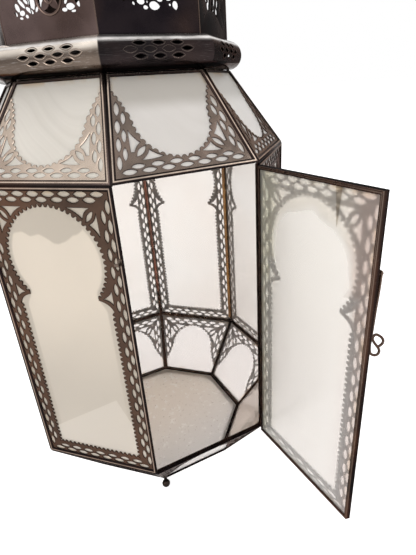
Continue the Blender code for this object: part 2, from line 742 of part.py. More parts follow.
def arc_points(centre, radius, start, end, count):
    """Evenly spaced points of an arc between two angles in degrees."""
    angles = [math.radians(start + (end - start) * i / (count - 1)) for i in range(count)]
    return [(centre[0] + radius * math.cos(a), centre[1] + radius * math.sin(a)) for a in angles]


def latch_route():
    """Wire of the latch hook: a shank, then an S-shaped finger curl, as out and up."""
    centre = EYE_STANDOFF + EYE_THICKNESS / 2
    shank = [(centre, -EYE_RADIUS * 0.8), (centre, -SHANK_STRAIGHT), (SHANK_STANDOFF, -SHANK_LENGTH)]
    curl_centre = (SHANK_STANDOFF + CURL_RADIUS, -SHANK_LENGTH - CURL_RADIUS)
    tip_centre = (curl_centre[0] + TIP_RADIUS, curl_centre[1] + CURL_RISE)
    return (shank + arc_points(curl_centre, CURL_RADIUS, 190, 375, 6)
            + arc_points(tip_centre, TIP_RADIUS, 205, -70, 8))


def build_latch(pivot, panel):
    """Rivet and hook on the door's free stile."""
    x, y = latch_place()
    place = panel @ Vector((x, y, 0))
    eye_low, eye_high = EYE_STANDOFF, EYE_STANDOFF + EYE_THICKNESS
    seat = panel @ Matrix.Translation((x, y, 0))
    rivet = new_mesh()
    collar_low = SEAT_GAP
    profile = [(RIVET_HEAD_RADIUS * 0.8, collar_low), (RIVET_HEAD_RADIUS * 0.8, eye_low - SEAT_GAP),
               (RIVET_RADIUS, eye_low - SEAT_GAP), (RIVET_RADIUS, eye_high + SEAT_GAP),
               (RIVET_HEAD_RADIUS, eye_high + SEAT_GAP),
               (RIVET_HEAD_RADIUS * 0.6, eye_high + SEAT_GAP + RIVET_HEAD_HEIGHT)]
    add_turned(rivet, profile, 10, seat)
    make_object("latch_rivet", rivet, WIRE, pivot, smooth=40)
    hook_pivot = make_pivot("latch_pivot", place, pivot)
    axes = Matrix(((1, 0, 0, 0), (0, 0, -1, 0), (0, 1, 0, 0), (0, 0, 0, 1)))
    hook = new_mesh()
    points = [Vector((0, down, out)) for out, down in latch_route()]
    add_tube(hook, points, WIRE_RADIUS, 6, axes)
    item = make_object("latch_hook", hook, WIRE, hook_pivot)
    washer, hole = new_mesh(), new_mesh()
    add_turned(washer, [(EYE_RADIUS, eye_low), (EYE_RADIUS, eye_high)], 12, axes)
    bore = RIVET_RADIUS + PIN_CLEARANCE
    add_turned(hole, [(bore, eye_low - CHANNEL_LIP), (bore, eye_high + CHANNEL_LIP)], 12, axes)
    combine(item, 'UNION', washer)
    combine(item, 'DIFFERENCE', hole)


def build_catch():
    """Open cleat on the next panel's channel, into which the hook's shank drops."""
    edge = BODY.half_width(0) - CATCH_INSET
    shank_out = EYE_STANDOFF + EYE_THICKNESS / 2
    reach = (CATCH_INSET + shank_out * math.sin(STEP)) * math.tan(STEP) + shank_out * math.cos(STEP)
    lip_in = reach + CATCH_WIDTH / 2 + WIRE_RADIUS * 2 + SEAT_GAP
    lip_out = lip_in + CATCH_THICKNESS
    floor = LATCH_HEIGHT - WIRE_RADIUS - SEAT_GAP
    leaf_out = SEAT_GAP + LEAF_THICKNESS
    profile = [(SEAT_GAP, floor - CATCH_FOOT), (leaf_out, floor - CATCH_FOOT),
               (leaf_out, floor - CATCH_THICKNESS), (lip_out, floor - CATCH_THICKNESS),
               (lip_out, floor + 3 * WIRE_RADIUS), (lip_in, floor + 3 * WIRE_RADIUS),
               (lip_in, floor), (leaf_out, floor), (leaf_out, floor + 2 * WIRE_RADIUS),
               (SEAT_GAP, floor + 2 * WIRE_RADIUS)]
    sideways = Matrix(((0, 0, 1, 0), (0, 1, 0, 0), (1, 0, 0, 0), (0, 0, 0, 1)))
    bm = new_mesh()
    add_prism(bm, profile, edge - CATCH_WIDTH / 2, edge + CATCH_WIDTH / 2, BODY.frame(SIDES - 1) @ sideways)
    make_object("latch_catch", bm, WIRE)


def roll_profile(radius, bulge, low, high, angles):
    """Points of a half-round roll between two heights."""
    middle, half = (low + high) / 2, (high - low) / 2
    return [(radius + bulge * math.cos(a), middle + half * math.sin(a)) for a in angles]


def shell_profile(radius, bulge, low, high, angles):
    """Closed profile of a rolled sheet with an inward flange at each end."""
    outer = roll_profile(radius, bulge, low, high, angles)
    inner = roll_profile(radius, bulge - SHELL_THICKNESS, low + SHELL_THICKNESS, high - SHELL_THICKNESS,
                         angles)
    foot = radius - FLANGE_WIDTH
    return [(foot, low), *outer, (foot, high), (foot, high - SHELL_THICKNESS), *reversed(inner),
            (foot, low + SHELL_THICKNESS)]


def build_collar():
    """Half-round collar between the shoulder and the gallery, with staggered rows of eyelets."""
    low, high = NECK_Z + HALF_GAP, GALLERY_LOW - HALF_GAP
    angles = [math.radians(value) for value in (-90, -64, -22, 22, 64, 90)]
    radius = (NECK_RADIUS + GALLERY_RADIUS) / 2
    bm = new_mesh()
    add_octagon_shell(bm, shell_profile(radius, COLLAR_BULGE, low, high, angles))
    item = make_object("collar", bm, PALE_METAL)
    outer = roll_profile(radius, COLLAR_BULGE, low, high, angles)
    eyelets = new_mesh()
    for band, count in ((1, 1), (2, 2)):
        tier = Tier(*outer[band], *outer[band + 1])
        for k in range(SIDES):
            for i in range(count):
                x = (i - (count - 1) / 2) * EYELET_PITCH
                add_prism(eyelets, lens(x, tier.slant / 2, EYELET_LENGTH, EYELET_WIDTH, 0),
                          -2 * SHELL_THICKNESS, 2 * SHELL_THICKNESS, tier.frame(k))
    combine(item, 'DIFFERENCE', eyelets)


def cartouche_loops():
    """Openwork of one gallery panel: two medallions between columns of three lobes."""
    middle = GALLERY_HEIGHT / 2
    rise = middle - CARTOUCHE_BAND - MEDALLION_RADIUS
    loops = []
    for up in (-1, 1):
        loops.append(lens(0, middle + up * rise, 2 * MEDALLION_RADIUS, 2 * MEDALLION_RADIUS, 0))
    for side in (-1, 1):
        for up in (-1, 0, 1):
            tilt = side * up * math.radians(18)
            loops.append(lens(side * LOBE_OFFSET, middle + up * rise, LOBE_LENGTH, LOBE_WIDTH, tilt))
    return loops


def build_gallery():
    """Upright octagonal band with an openwork cartouche in each panel."""
    low, high = GALLERY_LOW + HALF_GAP, GALLERY_HIGH - HALF_GAP
    inner = GALLERY_RADIUS - SHELL_THICKNESS
    bm = new_mesh()
    add_octagon_shell(bm, [(GALLERY_RADIUS, low), (GALLERY_RADIUS, high), (inner, high), (inner, low)])
    item = make_object("gallery", bm, BRONZE)
    tier = Tier(GALLERY_RADIUS, low, GALLERY_RADIUS, high)
    openwork = new_mesh()
    for k in range(SIDES):
        for loop in cartouche_loops():
            add_prism(openwork, loop, -3 * SHELL_THICKNESS, SHELL_THICKNESS, tier.frame(k))
    combine(item, 'DIFFERENCE', openwork)


def dome_radius(share, top, bottom):
    """Radius of the dome's corner at a share of its height."""
    return top + (bottom - top) * math.cos(share * math.pi / 2) ** 0.85


def build_dome():
    """Eight-gored dome on a small roll, closed by a flat boss under the finial."""
    low = GALLERY_HIGH + HALF_GAP
    angles = [math.radians(value) for value in (-90, -40, 0, 40, 90)]
    outer = roll_profile(GALLERY_RADIUS, ROLL_BULGE, low, DOME_LOW, angles)
    inner = roll_profile(GALLERY_RADIUS, ROLL_BULGE - SHELL_THICKNESS, low + SHELL_THICKNESS,
                         DOME_LOW - SHELL_THICKNESS, angles)
    shares = [0.12, 0.3, 0.5, 0.72, 1.0]
    start = GALLERY_RADIUS - FLANGE_WIDTH
    for share in shares:
        radius = dome_radius(share, DOME_TOP_RADIUS, start)
        outer.append((radius, DOME_LOW + DOME_HEIGHT * share))
        wall = SHELL_THICKNESS * (1.0 + 0.6 * share)
        inner.append((radius - SHELL_THICKNESS, DOME_LOW + DOME_HEIGHT * share - wall))
    foot = GALLERY_RADIUS - FLANGE_WIDTH
    bm = new_mesh()
    profile = [(foot, low), *outer]
    rings = [[bm.verts.new(corner(k, r, z)) for k in range(SIDES)] for r, z in profile]
    back = [[bm.verts.new(corner(k, r, z)) for k in range(SIDES)]
            for r, z in [(foot, low + SHELL_THICKNESS), *inner]]
    for course in (rings, back):
        for a, b in zip(course, course[1:]):
            for k in range(SIDES):
                n = (k + 1) % SIDES
                bm.faces.new((a[k], a[n], b[n], b[k]))
        bm.faces.new(course[-1])
    for k in range(SIDES):
        n = (k + 1) % SIDES
        bm.faces.new((rings[0][k], rings[0][n], back[0][n], back[0][k]))
    item = make_object("dome", bm, BRONZE)
    tier = Tier(*outer[-5], *outer[-4])
    holes = new_mesh()
    for k in range(SIDES):
        add_prism(holes, lens(0, tier.slant / 2, DOME_HOLE_LENGTH, DOME_HOLE_WIDTH, 0),
                  -4 * SHELL_THICKNESS, 2 * SHELL_THICKNESS, tier.frame(k))
    combine(item, 'DIFFERENCE', holes)


def build_finial():
    """Turned finial with an eye disc for the hanging ring."""
    low = DOME_HIGH + SEAT_GAP
    neck_top = EYELET_Z - EYELET_DISC_RADIUS * 0.7
    span = neck_top - low
    profile = [(FINIAL_BASE_RADIUS, low), (FINIAL_BASE_RADIUS, low + span * 0.18),
               (FINIAL_NECK_RADIUS * 1.2, low + span * 0.34), (FINIAL_BASE_RADIUS * 0.72, low + span * 0.55),
               (FINIAL_BASE_RADIUS * 0.6, low + span * 0.72), (FINIAL_NECK_RADIUS, low + span * 0.86),
               (FINIAL_NECK_RADIUS, neck_top)]
    bm = new_mesh()
    add_turned(bm, profile, 12)
    item = make_object("finial", bm, PALE_METAL)
    sideways = Matrix.Translation((0, 0, EYELET_Z)) @ Matrix.Rotation(math.pi / 2, 4, 'Y')
    disc, hole = new_mesh(), new_mesh()
    half = EYELET_DISC_THICKNESS / 2
    add_turned(disc, [(EYELET_DISC_RADIUS * 0.86, -half), (EYELET_DISC_RADIUS, -half * 0.5),
                      (EYELET_DISC_RADIUS, half * 0.5), (EYELET_DISC_RADIUS * 0.86, half)], 14, sideways)
    add_turned(hole, [(EYELET_HOLE_RADIUS, -2 * half), (EYELET_HOLE_RADIUS, 2 * half)], 14, sideways)
    combine(item, 'UNION', disc)
    combine(item, 'DIFFERENCE', hole)


def build_ring():
    """Hanging ring through the finial's eye, lying over to the front."""
    pivot = make_pivot("ring_pivot", (0, 0, EYELET_Z))
    pivot.rotation_euler = (RING_TILT, 0, 0)
    bm = new_mesh()
    across, around = 6, 20
    rings = []
    for i in range(around):
        a = 2 * math.pi * i / around
        centre = Vector((RING_RADIUS * math.sin(a), 0, RING_RADIUS - RING_RADIUS * math.cos(a)))
        outward = Vector((math.sin(a), 0, -math.cos(a)))
        angles = [2 * math.pi * j / across for j in range(across)]
        rings.append([bm.verts.new(centre + RING_WIRE_RADIUS * (math.cos(b) * outward
                                                                + math.sin(b) * Vector((0, 1, 0))))
                      for b in angles])
    for a, b in zip(rings, rings[1:] + rings[:1]):
        for k in range(across):
            n = (k + 1) % across
            bm.faces.new((a[k], a[n], b[n], b[k]))
    make_object("hanging_ring", bm, PALE_METAL, pivot, smooth=60)


def main():
    """Build the lantern from the base upwards."""
    clear_scene()
    build_lower_band()
    build_base_plate()
    build_feet()
    body_frame = build_body()
    add_hinge_half(body_frame, Vector((0, 0, 0)), 1, -1, 0)
    build_hinge_pins()
    build_door()
    build_catch()
    build_shoulder()
    build_collar()
    build_gallery()
    build_dome()
    build_finial()
    build_ring()


main()
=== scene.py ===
"""Looks of an eight-sided pierced metal lantern with frosted panes, a hinged door and a wire latch.

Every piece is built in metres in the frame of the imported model: +Z up, panel 0 faces -Y and is the
door, and the panels count anticlockwise seen from above.
"""
import json
import logging
import math
import random
from dataclasses import dataclass, field
from enum import Enum
from typing import Any, Callable, Iterable, Mapping, Sequence

import bmesh
import bpy
from mathutils import Matrix, Vector, geometry

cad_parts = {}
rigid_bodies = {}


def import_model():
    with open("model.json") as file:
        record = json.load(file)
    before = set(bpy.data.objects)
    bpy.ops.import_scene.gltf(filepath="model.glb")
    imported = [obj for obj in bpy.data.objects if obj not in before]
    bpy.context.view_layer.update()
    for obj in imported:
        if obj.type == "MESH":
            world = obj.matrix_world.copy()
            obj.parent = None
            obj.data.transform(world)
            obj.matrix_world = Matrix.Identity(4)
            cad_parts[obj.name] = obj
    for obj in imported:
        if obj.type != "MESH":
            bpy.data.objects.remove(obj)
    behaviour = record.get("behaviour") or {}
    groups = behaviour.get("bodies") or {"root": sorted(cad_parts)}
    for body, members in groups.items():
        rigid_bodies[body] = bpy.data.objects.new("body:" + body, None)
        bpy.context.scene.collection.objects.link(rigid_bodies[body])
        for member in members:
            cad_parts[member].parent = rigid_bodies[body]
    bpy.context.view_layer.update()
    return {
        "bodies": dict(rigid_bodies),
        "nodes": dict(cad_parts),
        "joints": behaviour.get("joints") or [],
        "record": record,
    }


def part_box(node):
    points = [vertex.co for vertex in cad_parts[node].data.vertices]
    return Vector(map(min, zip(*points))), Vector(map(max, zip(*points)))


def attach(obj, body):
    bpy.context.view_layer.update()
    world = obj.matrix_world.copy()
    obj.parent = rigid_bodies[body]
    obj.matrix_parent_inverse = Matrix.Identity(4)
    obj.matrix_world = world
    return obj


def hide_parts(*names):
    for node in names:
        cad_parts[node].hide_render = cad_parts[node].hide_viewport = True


LOG = logging.getLogger("lantern")
MM = 0.001
SIDES = 8
STEP = 2 * math.pi / SIDES
HALF_STEP = STEP / 2
UP = Vector((0, 0, 1))
SMOOTH_ANGLE = math.radians(35)
Point = tuple[float, float]
Loop = list[Point]
Path2D = tuple[Callable[[float], tuple[Vector, Vector]], float]
Row = tuple[float, float, float]
Colour = Place = Row


class Body(Enum):
    """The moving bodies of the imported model."""

    LANTERN = "lantern"
    DOOR = "door"
    LATCH = "latch"
    RING = "ring"


class Slot(Enum):
    """The material slots of the record."""

    ANTIQUE = "antique_bronze"
    PIERCED = "pierced_bronze"
    WORN = "worn_bronze"
    WIRE = "latch_wire"
    GLASS = "frosted_glass"


class Field:
    """One output of a shader node, which adds Math nodes when it is reckoned with."""

    def __init__(self, recipe: "Recipe", socket: bpy.types.NodeSocket) -> None:
        """Keep the recipe that owns the node, and its socket."""
        self.recipe = recipe
        self.socket = socket

    def _math(self, operation: str, first: Any, second: Any) -> "Field":
        """Add a Math node for an operation on two values or fields."""
        node = self.recipe.add("ShaderNodeMath", {"operation": operation}, {0: first, 1: second})
        return Field(self.recipe, node.outputs[0])

    def __add__(self, other: Any) -> "Field":
        """Sum of this field and another."""
        return self._math("ADD", self, other)

    def __radd__(self, other: Any) -> "Field":
        """Sum with a number on the left."""
        return self._math("ADD", other, self)

    def __sub__(self, other: Any) -> "Field":
        """Difference of this field and another."""
        return self._math("SUBTRACT", self, other)

    def __rsub__(self, other: Any) -> "Field":
        """Difference with a number on the left."""
        return self._math("SUBTRACT", other, self)

    def __mul__(self, other: Any) -> "Field":
        """Product of this field and another."""
        return self._math("MULTIPLY", self, other)

    def __rmul__(self, other: Any) -> "Field":
        """Product with a number on the left."""
        return self._math("MULTIPLY", other, self)

    def __truediv__(self, other: Any) -> "Field":
        """Quotient of this field and another."""
        return self._math("DIVIDE", self, other)

    def __pow__(self, other: Any) -> "Field":
        """This field raised to a power."""
        return self._math("POWER", self, other)

    def at_least(self, other: Any) -> "Field":
        """The larger of this field and another."""
        return self._math("MAXIMUM", self, other)

    def at_most(self, other: Any) -> "Field":
        """The smaller of this field and another."""
        return self._math("MINIMUM", self, other)

    def size(self) -> "Field":
        """This field without its sign."""
        return self._math("ABSOLUTE", self, 0.0)

    def step(self, low: float, high: float) -> "Field":
        """Smooth rise from 0 at one value of this field to 1 at another.

        Args:
            low: value that gives 0.
            high: value that gives 1; it may be the smaller of the two.

        Returns:
            The smoothed field, held between 0 and 1.
        """
        node = self.recipe.add("ShaderNodeMapRange", {"interpolation_type": "SMOOTHSTEP"},
                               {"Value": self, "From Min": low, "From Max": high})
        return Field(self.recipe, node.outputs[0])


class Recipe:
    """The nodes of a material or of the world, and the shader among them."""

    def __init__(self, name: str, world: bool = False) -> None:
        """Start a material, or a world, of a given name."""
        self.owner = (bpy.data.worlds if world else bpy.data.materials).new(name)
        self.owner.use_nodes = True
        self.tree = self.owner.node_tree
        self.shader = self.tree.nodes["Background" if world else "Principled BSDF"]

    def add(self, kind: str, settings: Mapping[str, Any], inputs: Mapping[Any, Any]) -> bpy.types.Node:
        """Add a node.

        Args:
            kind: the node's type.
            settings: its properties, which are set first.
            inputs: a value, or a field to link, for each socket by name or place.

        Returns:
            The new node.
        """
        node = self.tree.nodes.new(kind)
        for key, value in settings.items():
            setattr(node, key, value)
        for key, value in inputs.items():
            self.feed(node.inputs[key], value)
        return node

    def feed(self, socket: bpy.types.NodeSocket, value: Any) -> None:
        """Link a field to a socket, or set its value."""
        if isinstance(value, Field):
            self.tree.links.new(value.socket, socket)
        elif isinstance(value, tuple) and len(value) == 3 and socket.type == 'RGBA':
            socket.default_value = (*value, 1.0)
        else:
            socket.default_value = value

    def dress(self, **values: Any) -> None:
        """Set or link sockets of the shader, with spaces written as underscores."""
        for key, value in values.items():
            self.feed(self.shader.inputs[key.replace("_", " ")], value)

    def place(self) -> Field:
        """Position on the piece, in metres of the resting lantern."""
        return Field(self, self.add("ShaderNodeTexCoord", {}, {}).outputs["Object"])

    def stretched(self, scale: Sequence[float]) -> Field:
        """Position on the piece with its axes scaled."""
        node = self.add("ShaderNodeVectorMath", {"operation": "MULTIPLY"}, {0: self.place(), 1: tuple(scale)})
        return Field(self, node.outputs[0])

    def along(self, axis: Vector) -> Field:
        """Distance of a point along an axis, in metres."""
        node = self.add("ShaderNodeVectorMath", {"operation": "DOT_PRODUCT"},
                        {0: self.place(), 1: tuple(axis)})
        return Field(self, node.outputs["Value"])

    def sector(self, way: Point) -> Field:
        """Share of a point in the eighth of the lantern round a way, 1 inside it and 0 outside."""
        x, y = self.along(Vector((1, 0, 0))), self.along(Vector((0, 1, 0)))
        spread = math.cos(HALF_STEP)
        return ((x * way[0] + y * way[1]) / (x * x + y * y) ** 0.5).step(spread - 0.002, spread + 0.002)

    def noise(self, scale: float, detail: float = 3.0, roughness: float = 0.55,
              at: Field | None = None) -> Field:
        """Cloudy variation between 0 and 1.

        Args:
            scale: clouds per metre.
            detail: octaves of finer clouds.
            roughness: strength of the finer clouds.
            at: where it is read, or None for the piece's own position.

        Returns:
            The noise as a field.
        """
        node = self.add("ShaderNodeTexNoise", {}, {"Vector": at or self.place(), "Scale": scale,
                                                   "Detail": detail, "Roughness": roughness})
        return Field(self, node.outputs[0])

    def painted(self, name: str) -> Field:
        """A number stored on the mesh's points."""
        node = self.add("ShaderNodeAttribute", {"attribute_name": name}, {})
        return Field(self, node.outputs["Fac"])

    def blend(self, share: Any, first: Any, second: Any) -> Field:
        """Mix two colours.

        Args:
            share: how much of the second colour shows.
            first: colour where the share is 0.
            second: colour where the share is 1.

        Returns:
            The mixed colour.
        """
        node = self.add("ShaderNodeMix", {"data_type": 'RGBA'}, {0: share, 6: first, 7: second})
        return Field(self, node.outputs[2])

    def raise_bumps(self, height: Field, distance: float) -> None:
        """Feed a height field to the shader's normal through a Bump node."""
        node = self.add("ShaderNodeBump", {}, {"Height": height, "Distance": distance, "Strength": 1.0})
        self.dress(Normal=Field(self, node.outputs[0]))


@dataclass(frozen=True)
class BronzeFinish:
    """Antique bronze: dark patina with coppery clouds and pale metal where hands rub it. The pale colour also
    paints highlights, a near-black colour paints shade in hollows and crevices, and a lighter colour and a
    highlight band paint light on the side facing the key lamp.
    """

    name: str
    patina: Colour
    shade: Colour
    copper: Colour
    # Pale rubbed metal, which also paints highlights.
    rubbed_and_highlight: Colour
    roughness: float = 0.4
    copper_share: float = 0.6
    rub_and_highlight_share: float = 0.8
    metallic: float = 0.9
    grain: Place = (1.0, 1.0, 1.0)
    # Lighter colour painted over the eighth of the lantern round the way that faces the key lamp: painted
    # light.
    lit_colour: Colour | None = None
    lit_way: Point = (-math.sqrt(0.5), -math.sqrt(0.5))
    # Near black: painted shade in hollows, in crevices and under the collar.
    soot_and_shade: Colour = (0.006, 0.005, 0.006)
    rim: Colour = (0.30, 0.25, 0.23)
    dent: float = 0.18 * MM
    speckle: float = 0.08
    fade: float = 0.0
    # Band of painted highlight up the lit side.
    highlight_band: "HeightBand | None" = None

    def make(self) -> bpy.types.Material:
        """Return the finish as a material."""
        recipe = Recipe(self.name)
        clouds = recipe.noise(26.0, 4.0).step(0.36, 0.66)
        blush = recipe.noise(11.0, 3.0).step(0.46, 0.7)
        specks = recipe.noise(900.0, 2.0, at=recipe.stretched(self.grain))
        # Positive painted values give rubbed metal and painted highlights, negative ones painted shade.
        wear_highlight_shade = recipe.painted("wear_highlight_shade")
        wear_and_highlight = wear_highlight_shade.at_least(0.0) * (0.35 + recipe.noise(70.0, 3.0)).at_most(1.0) * self.rub_and_highlight_share
        flecks_and_glints = specks.step(0.56, 0.8) * self.speckle
        base = recipe.blend(clouds, self.shade, self.patina)
        # Painted light on the lit side: a lighter colour, more glints among the flecks, and the highlight
        # band.
        if self.lit_colour is not None:
            lit_side_share = recipe.sector(self.lit_way) * (0.72 + clouds * 0.28)
            flecks_and_glints = flecks_and_glints * (0.15 + lit_side_share)
            base = recipe.blend(lit_side_share, base, self.lit_colour)
            if self.highlight_band is not None:
                base = recipe.blend(self.highlight_band.amount(recipe) * lit_side_share, base, self.highlight_band.tint)
        rubbed_and_highlight = (wear_and_highlight + flecks_and_glints).at_most(1.0)
        warm = recipe.blend(blush * self.copper_share, base, self.copper)
        clean = recipe.blend(rubbed_and_highlight, warm, self.rubbed_and_highlight)
        # Painted shade, near black, where the painted value is negative.
        recipe.dress(Base_Color=recipe.blend((0.0 - wear_highlight_shade).at_least(0.0) * 0.95, clean, self.soot_and_shade),
                     Roughness=(self.roughness + (specks - 0.5) * 0.22 + (clouds - 0.5) * 0.12
                                - rubbed_and_highlight * 0.1).at_least(0.12),
                     Metallic=self.metallic - wear_and_highlight * self.fade, Specular_Tint=self.rim)
        dents = recipe.noise(160.0, 3.0) * 0.7 + specks * 0.3
        recipe.raise_bumps(dents, self.dent)
        return recipe.owner


@dataclass(frozen=True)
class HeightBand:
    """Zone of another colour, rougher on a pane, which rises between two heights: the painted shade and
    reflection of the dark collar on the shoulder panes, a greyer, rougher top on the door pane, and the
    painted highlight band up the collar.
    """

    low: float
    high: float
    tint: Colour
    roughness: float = 0.0
    share: float = 1.0
    widest_wander: float = 12 * MM

    def amount(self, recipe: Recipe) -> Field:
        """Share of the band at each point."""
        wander = (recipe.noise(22.0, 2.0) - 0.5) * min(self.widest_wander, (self.high - self.low) / 3)
        return (recipe.along(UP) + wander).step(self.low, self.high) * self.share


@dataclass(frozen=True)
class KeyholeLight:
    """Painted light: a pale keyhole of light on a tall pane, a little inside its arch."""

    matrix: Matrix
    height: float
    # Colours of the painted light, at the keyhole's top and lower down.
    tint: Colour
    faded: Colour
    share: float = 1.0
    radius: float = 42.0 * MM
    half_width: float = 40.0 * MM
    neck: float = 33.0 * MM
    neck_drop: float = 91.0 * MM
    neck_reach: float = 17.0 * MM
    stem_start: float = 12.0 * MM
    centre_drop: float = 62.0 * MM
    top_drop: float = 40.0 * MM
    wave: float = 38.0 * MM
    softness: float = 1.2 * MM
    ragged: float = 0.0
    light_patch: Colour | None = None
    drip_shadow: Point | None = None
    drip_shadow_colour: Colour = (0.30, 0.24, 0.17)
    side_shade: tuple[Colour, Colour] | None = None

    def axes(self, recipe: Recipe) -> tuple[Field, Field]:
        """Place across the pane from its middle, and how far below its top."""
        across = self.matrix.col[0].to_3d()
        return (recipe.along(across) - self.matrix.translation.dot(across),
                self.matrix.translation.z + self.height - recipe.along(UP))

    def inside(self, recipe: Recipe) -> Field:
        """Share of the painted keyhole of light at each point."""
        x, drop = self.axes(recipe)
        below = drop - self.centre_drop
        ripples = recipe.noise(34.0, 1.5, at=recipe.stretched((1.0, 1.0, 0.1)))
        circle = (x * x + below * below) ** 0.5 - self.radius + (recipe.noise(45.0, 3.0) - 0.5) * self.ragged
        pinch = ((drop - self.neck_drop).size() / self.neck_reach).step(1.0, 0.0)
        stem = (x.size() - self.half_width + pinch * (self.half_width - self.neck)).at_least(
            self.stem_start - below)
        cut = self.top_drop + (ripples - 0.5) * self.wave - drop
        return circle.at_most(stem).at_least(cut).step(self.softness, -self.softness)

    def paint(self, recipe: Recipe, colour: Field) -> Field:
        """Lay the painted keyhole of light over a colour, with the painted shade at the pane's sides, the
        painted patch of light and the painted drip shadow that it has.

        Args:
            recipe: the material's tree.
            colour: the colour under it.

        Returns:
            The colour with the painted keyhole of light.
        """
        x, drop = self.axes(recipe)
        # Painted shade towards both sides of the pane.
        if self.side_shade is not None:
            for side, tint in zip((1, -1), self.side_shade):
                colour = recipe.blend((x * side).step(30 * MM, 52 * MM) * 0.7, colour, tint)
        # Painted light: the pale keyhole, fading lower down.
        pale = recipe.blend((drop / self.height).step(0.3, 0.72), self.tint, self.faded)
        colour = recipe.blend(self.inside(recipe) * self.share, colour, pale)
        # Painted patch of light low on one side of the pane.
        if self.light_patch is not None:
            top_edge = drop + x * 0.625 - 221 * MM
            side_edge = 31.2 * MM - x + (drop - 201.5 * MM) * 0.459
            colour = recipe.blend(top_edge.at_most(side_edge).step(-0.7 * MM, 0.7 * MM), colour, self.light_patch)
        # Painted shadow: a dark streak that narrows downwards.
        if self.drip_shadow is not None:
            start, length = self.drip_shadow
            top = 10 * MM
            streak = ((x - start).size() + (drop - top) * (2.2 * MM / length)).step(2.9 * MM, 1.9 * MM)
            colour = recipe.blend(streak * drop.step(length + top, length + top - 3 * MM) * 0.8, colour,
                                  self.drip_shadow_colour)
        return colour


@dataclass(frozen=True)
class FrostedFinish:
    """Milky frosted glass, yellowed along the edge where it sits in its channel, with a painted keyhole of
    light and a band up its height where they are given.
    """

    name: str
    tint: Colour
    cloud: Colour
    clearness: float = 0.8
    roughness: float = 0.34
    keyhole_light: KeyholeLight | None = None
    height_band: HeightBand | None = None
    wipe: float = 0.0
    smooth: float = 0.17
    edge: Colour = (0.62, 0.36, 0.10)
    wiped: Colour = (0.5, 0.45, 0.38)
    grain_depth: float = 0.04 * MM

    def make(self) -> bpy.types.Material:
        """Return the finish as a material."""
        recipe = Recipe(self.name)
        clouds = recipe.noise(9.0, 2.0).step(0.3, 0.7)
        colour = recipe.blend(clouds, self.tint, self.cloud)
        if self.wipe > 0:
            swipe = recipe.along(Vector((0.5, -0.3, 1.0))) * 9.0 + recipe.noise(6.0, 2.0)
            at = recipe.add("ShaderNodeCombineXYZ", {}, {0: swipe, 1: recipe.along(Vector((1, 0.3, 0)))})
            streaks = recipe.noise(8.0, 3.0, 0.7, Field(recipe, at.outputs[0]))
            colour = recipe.blend(streaks.step(0.35, 0.75) * self.wipe, colour, self.wiped)
        grain = recipe.noise(2400.0, 2.0)
        roughness = (self.roughness + (grain - 0.5) * 0.06
                     - recipe.painted("inside") * (self.roughness - self.smooth))
        # The band: painted shade of the collar on shoulder panes, a greyer, rougher top on the door pane.
        if self.height_band is not None:
            height_band = self.height_band.amount(recipe)
            colour = recipe.blend(height_band, colour, self.height_band.tint)
            clear = 1.0 - self.keyhole_light.inside(recipe) if self.keyhole_light is not None else 1.0
            roughness = roughness + height_band * self.height_band.roughness * clear
        # Painted keyhole of light, with its painted shade, patch of light and drip shadow.
        if self.keyhole_light is not None:
            colour = self.keyhole_light.paint(recipe, colour)
        stain = recipe.painted("edge") * recipe.noise(60.0, 3.0).step(0.42, 0.7)
        recipe.dress(Base_Color=recipe.blend(stain * 0.5, colour, self.edge), Roughness=roughness,
                     Transmission_Weight=self.clearness, IOR=1.45)
        recipe.raise_bumps(grain, self.grain_depth)
        return recipe.owner


@dataclass(frozen=True)
class BaseGlassFinish:
    """Grey-beige floor pane with fine specks and dust, cooler in front."""

    name: str = "speckled_base_glass"
    tint: Colour = (0.86, 0.78, 0.70)
    cool: Colour = (0.76, 0.73, 0.71)
    speck: Colour = (1.0, 0.97, 0.93)
    # Colour of the dark specks of dirt.
    soot_and_shade: Colour = (0.36, 0.29, 0.24)

    def make(self) -> bpy.types.Material:
        """Return the finish as a material."""
        recipe = Recipe(self.name)
        forward = recipe.along(Vector((0.2, -1, 0))).step(-0.05, 0.12)
        clouds = recipe.noise(18.0, 4.0).step(0.3, 0.7)
        ground = recipe.blend(forward, self.tint, self.cool)
        dusty = recipe.blend(recipe.noise(150.0, 3.0).step(0.56, 0.68) * 0.7 + clouds * 0.12, ground,
                             self.speck)
        colour = recipe.blend(recipe.noise(260.0, 2.0).step(0.62, 0.74) * 0.7, dusty, self.soot_and_shade)
        recipe.dress(Base_Color=colour, Roughness=0.5 + clouds * 0.2, Transmission_Weight=0.65, IOR=1.4)
        recipe.raise_bumps(recipe.noise(800.0, 2.0), 0.0001)
        return recipe.owner


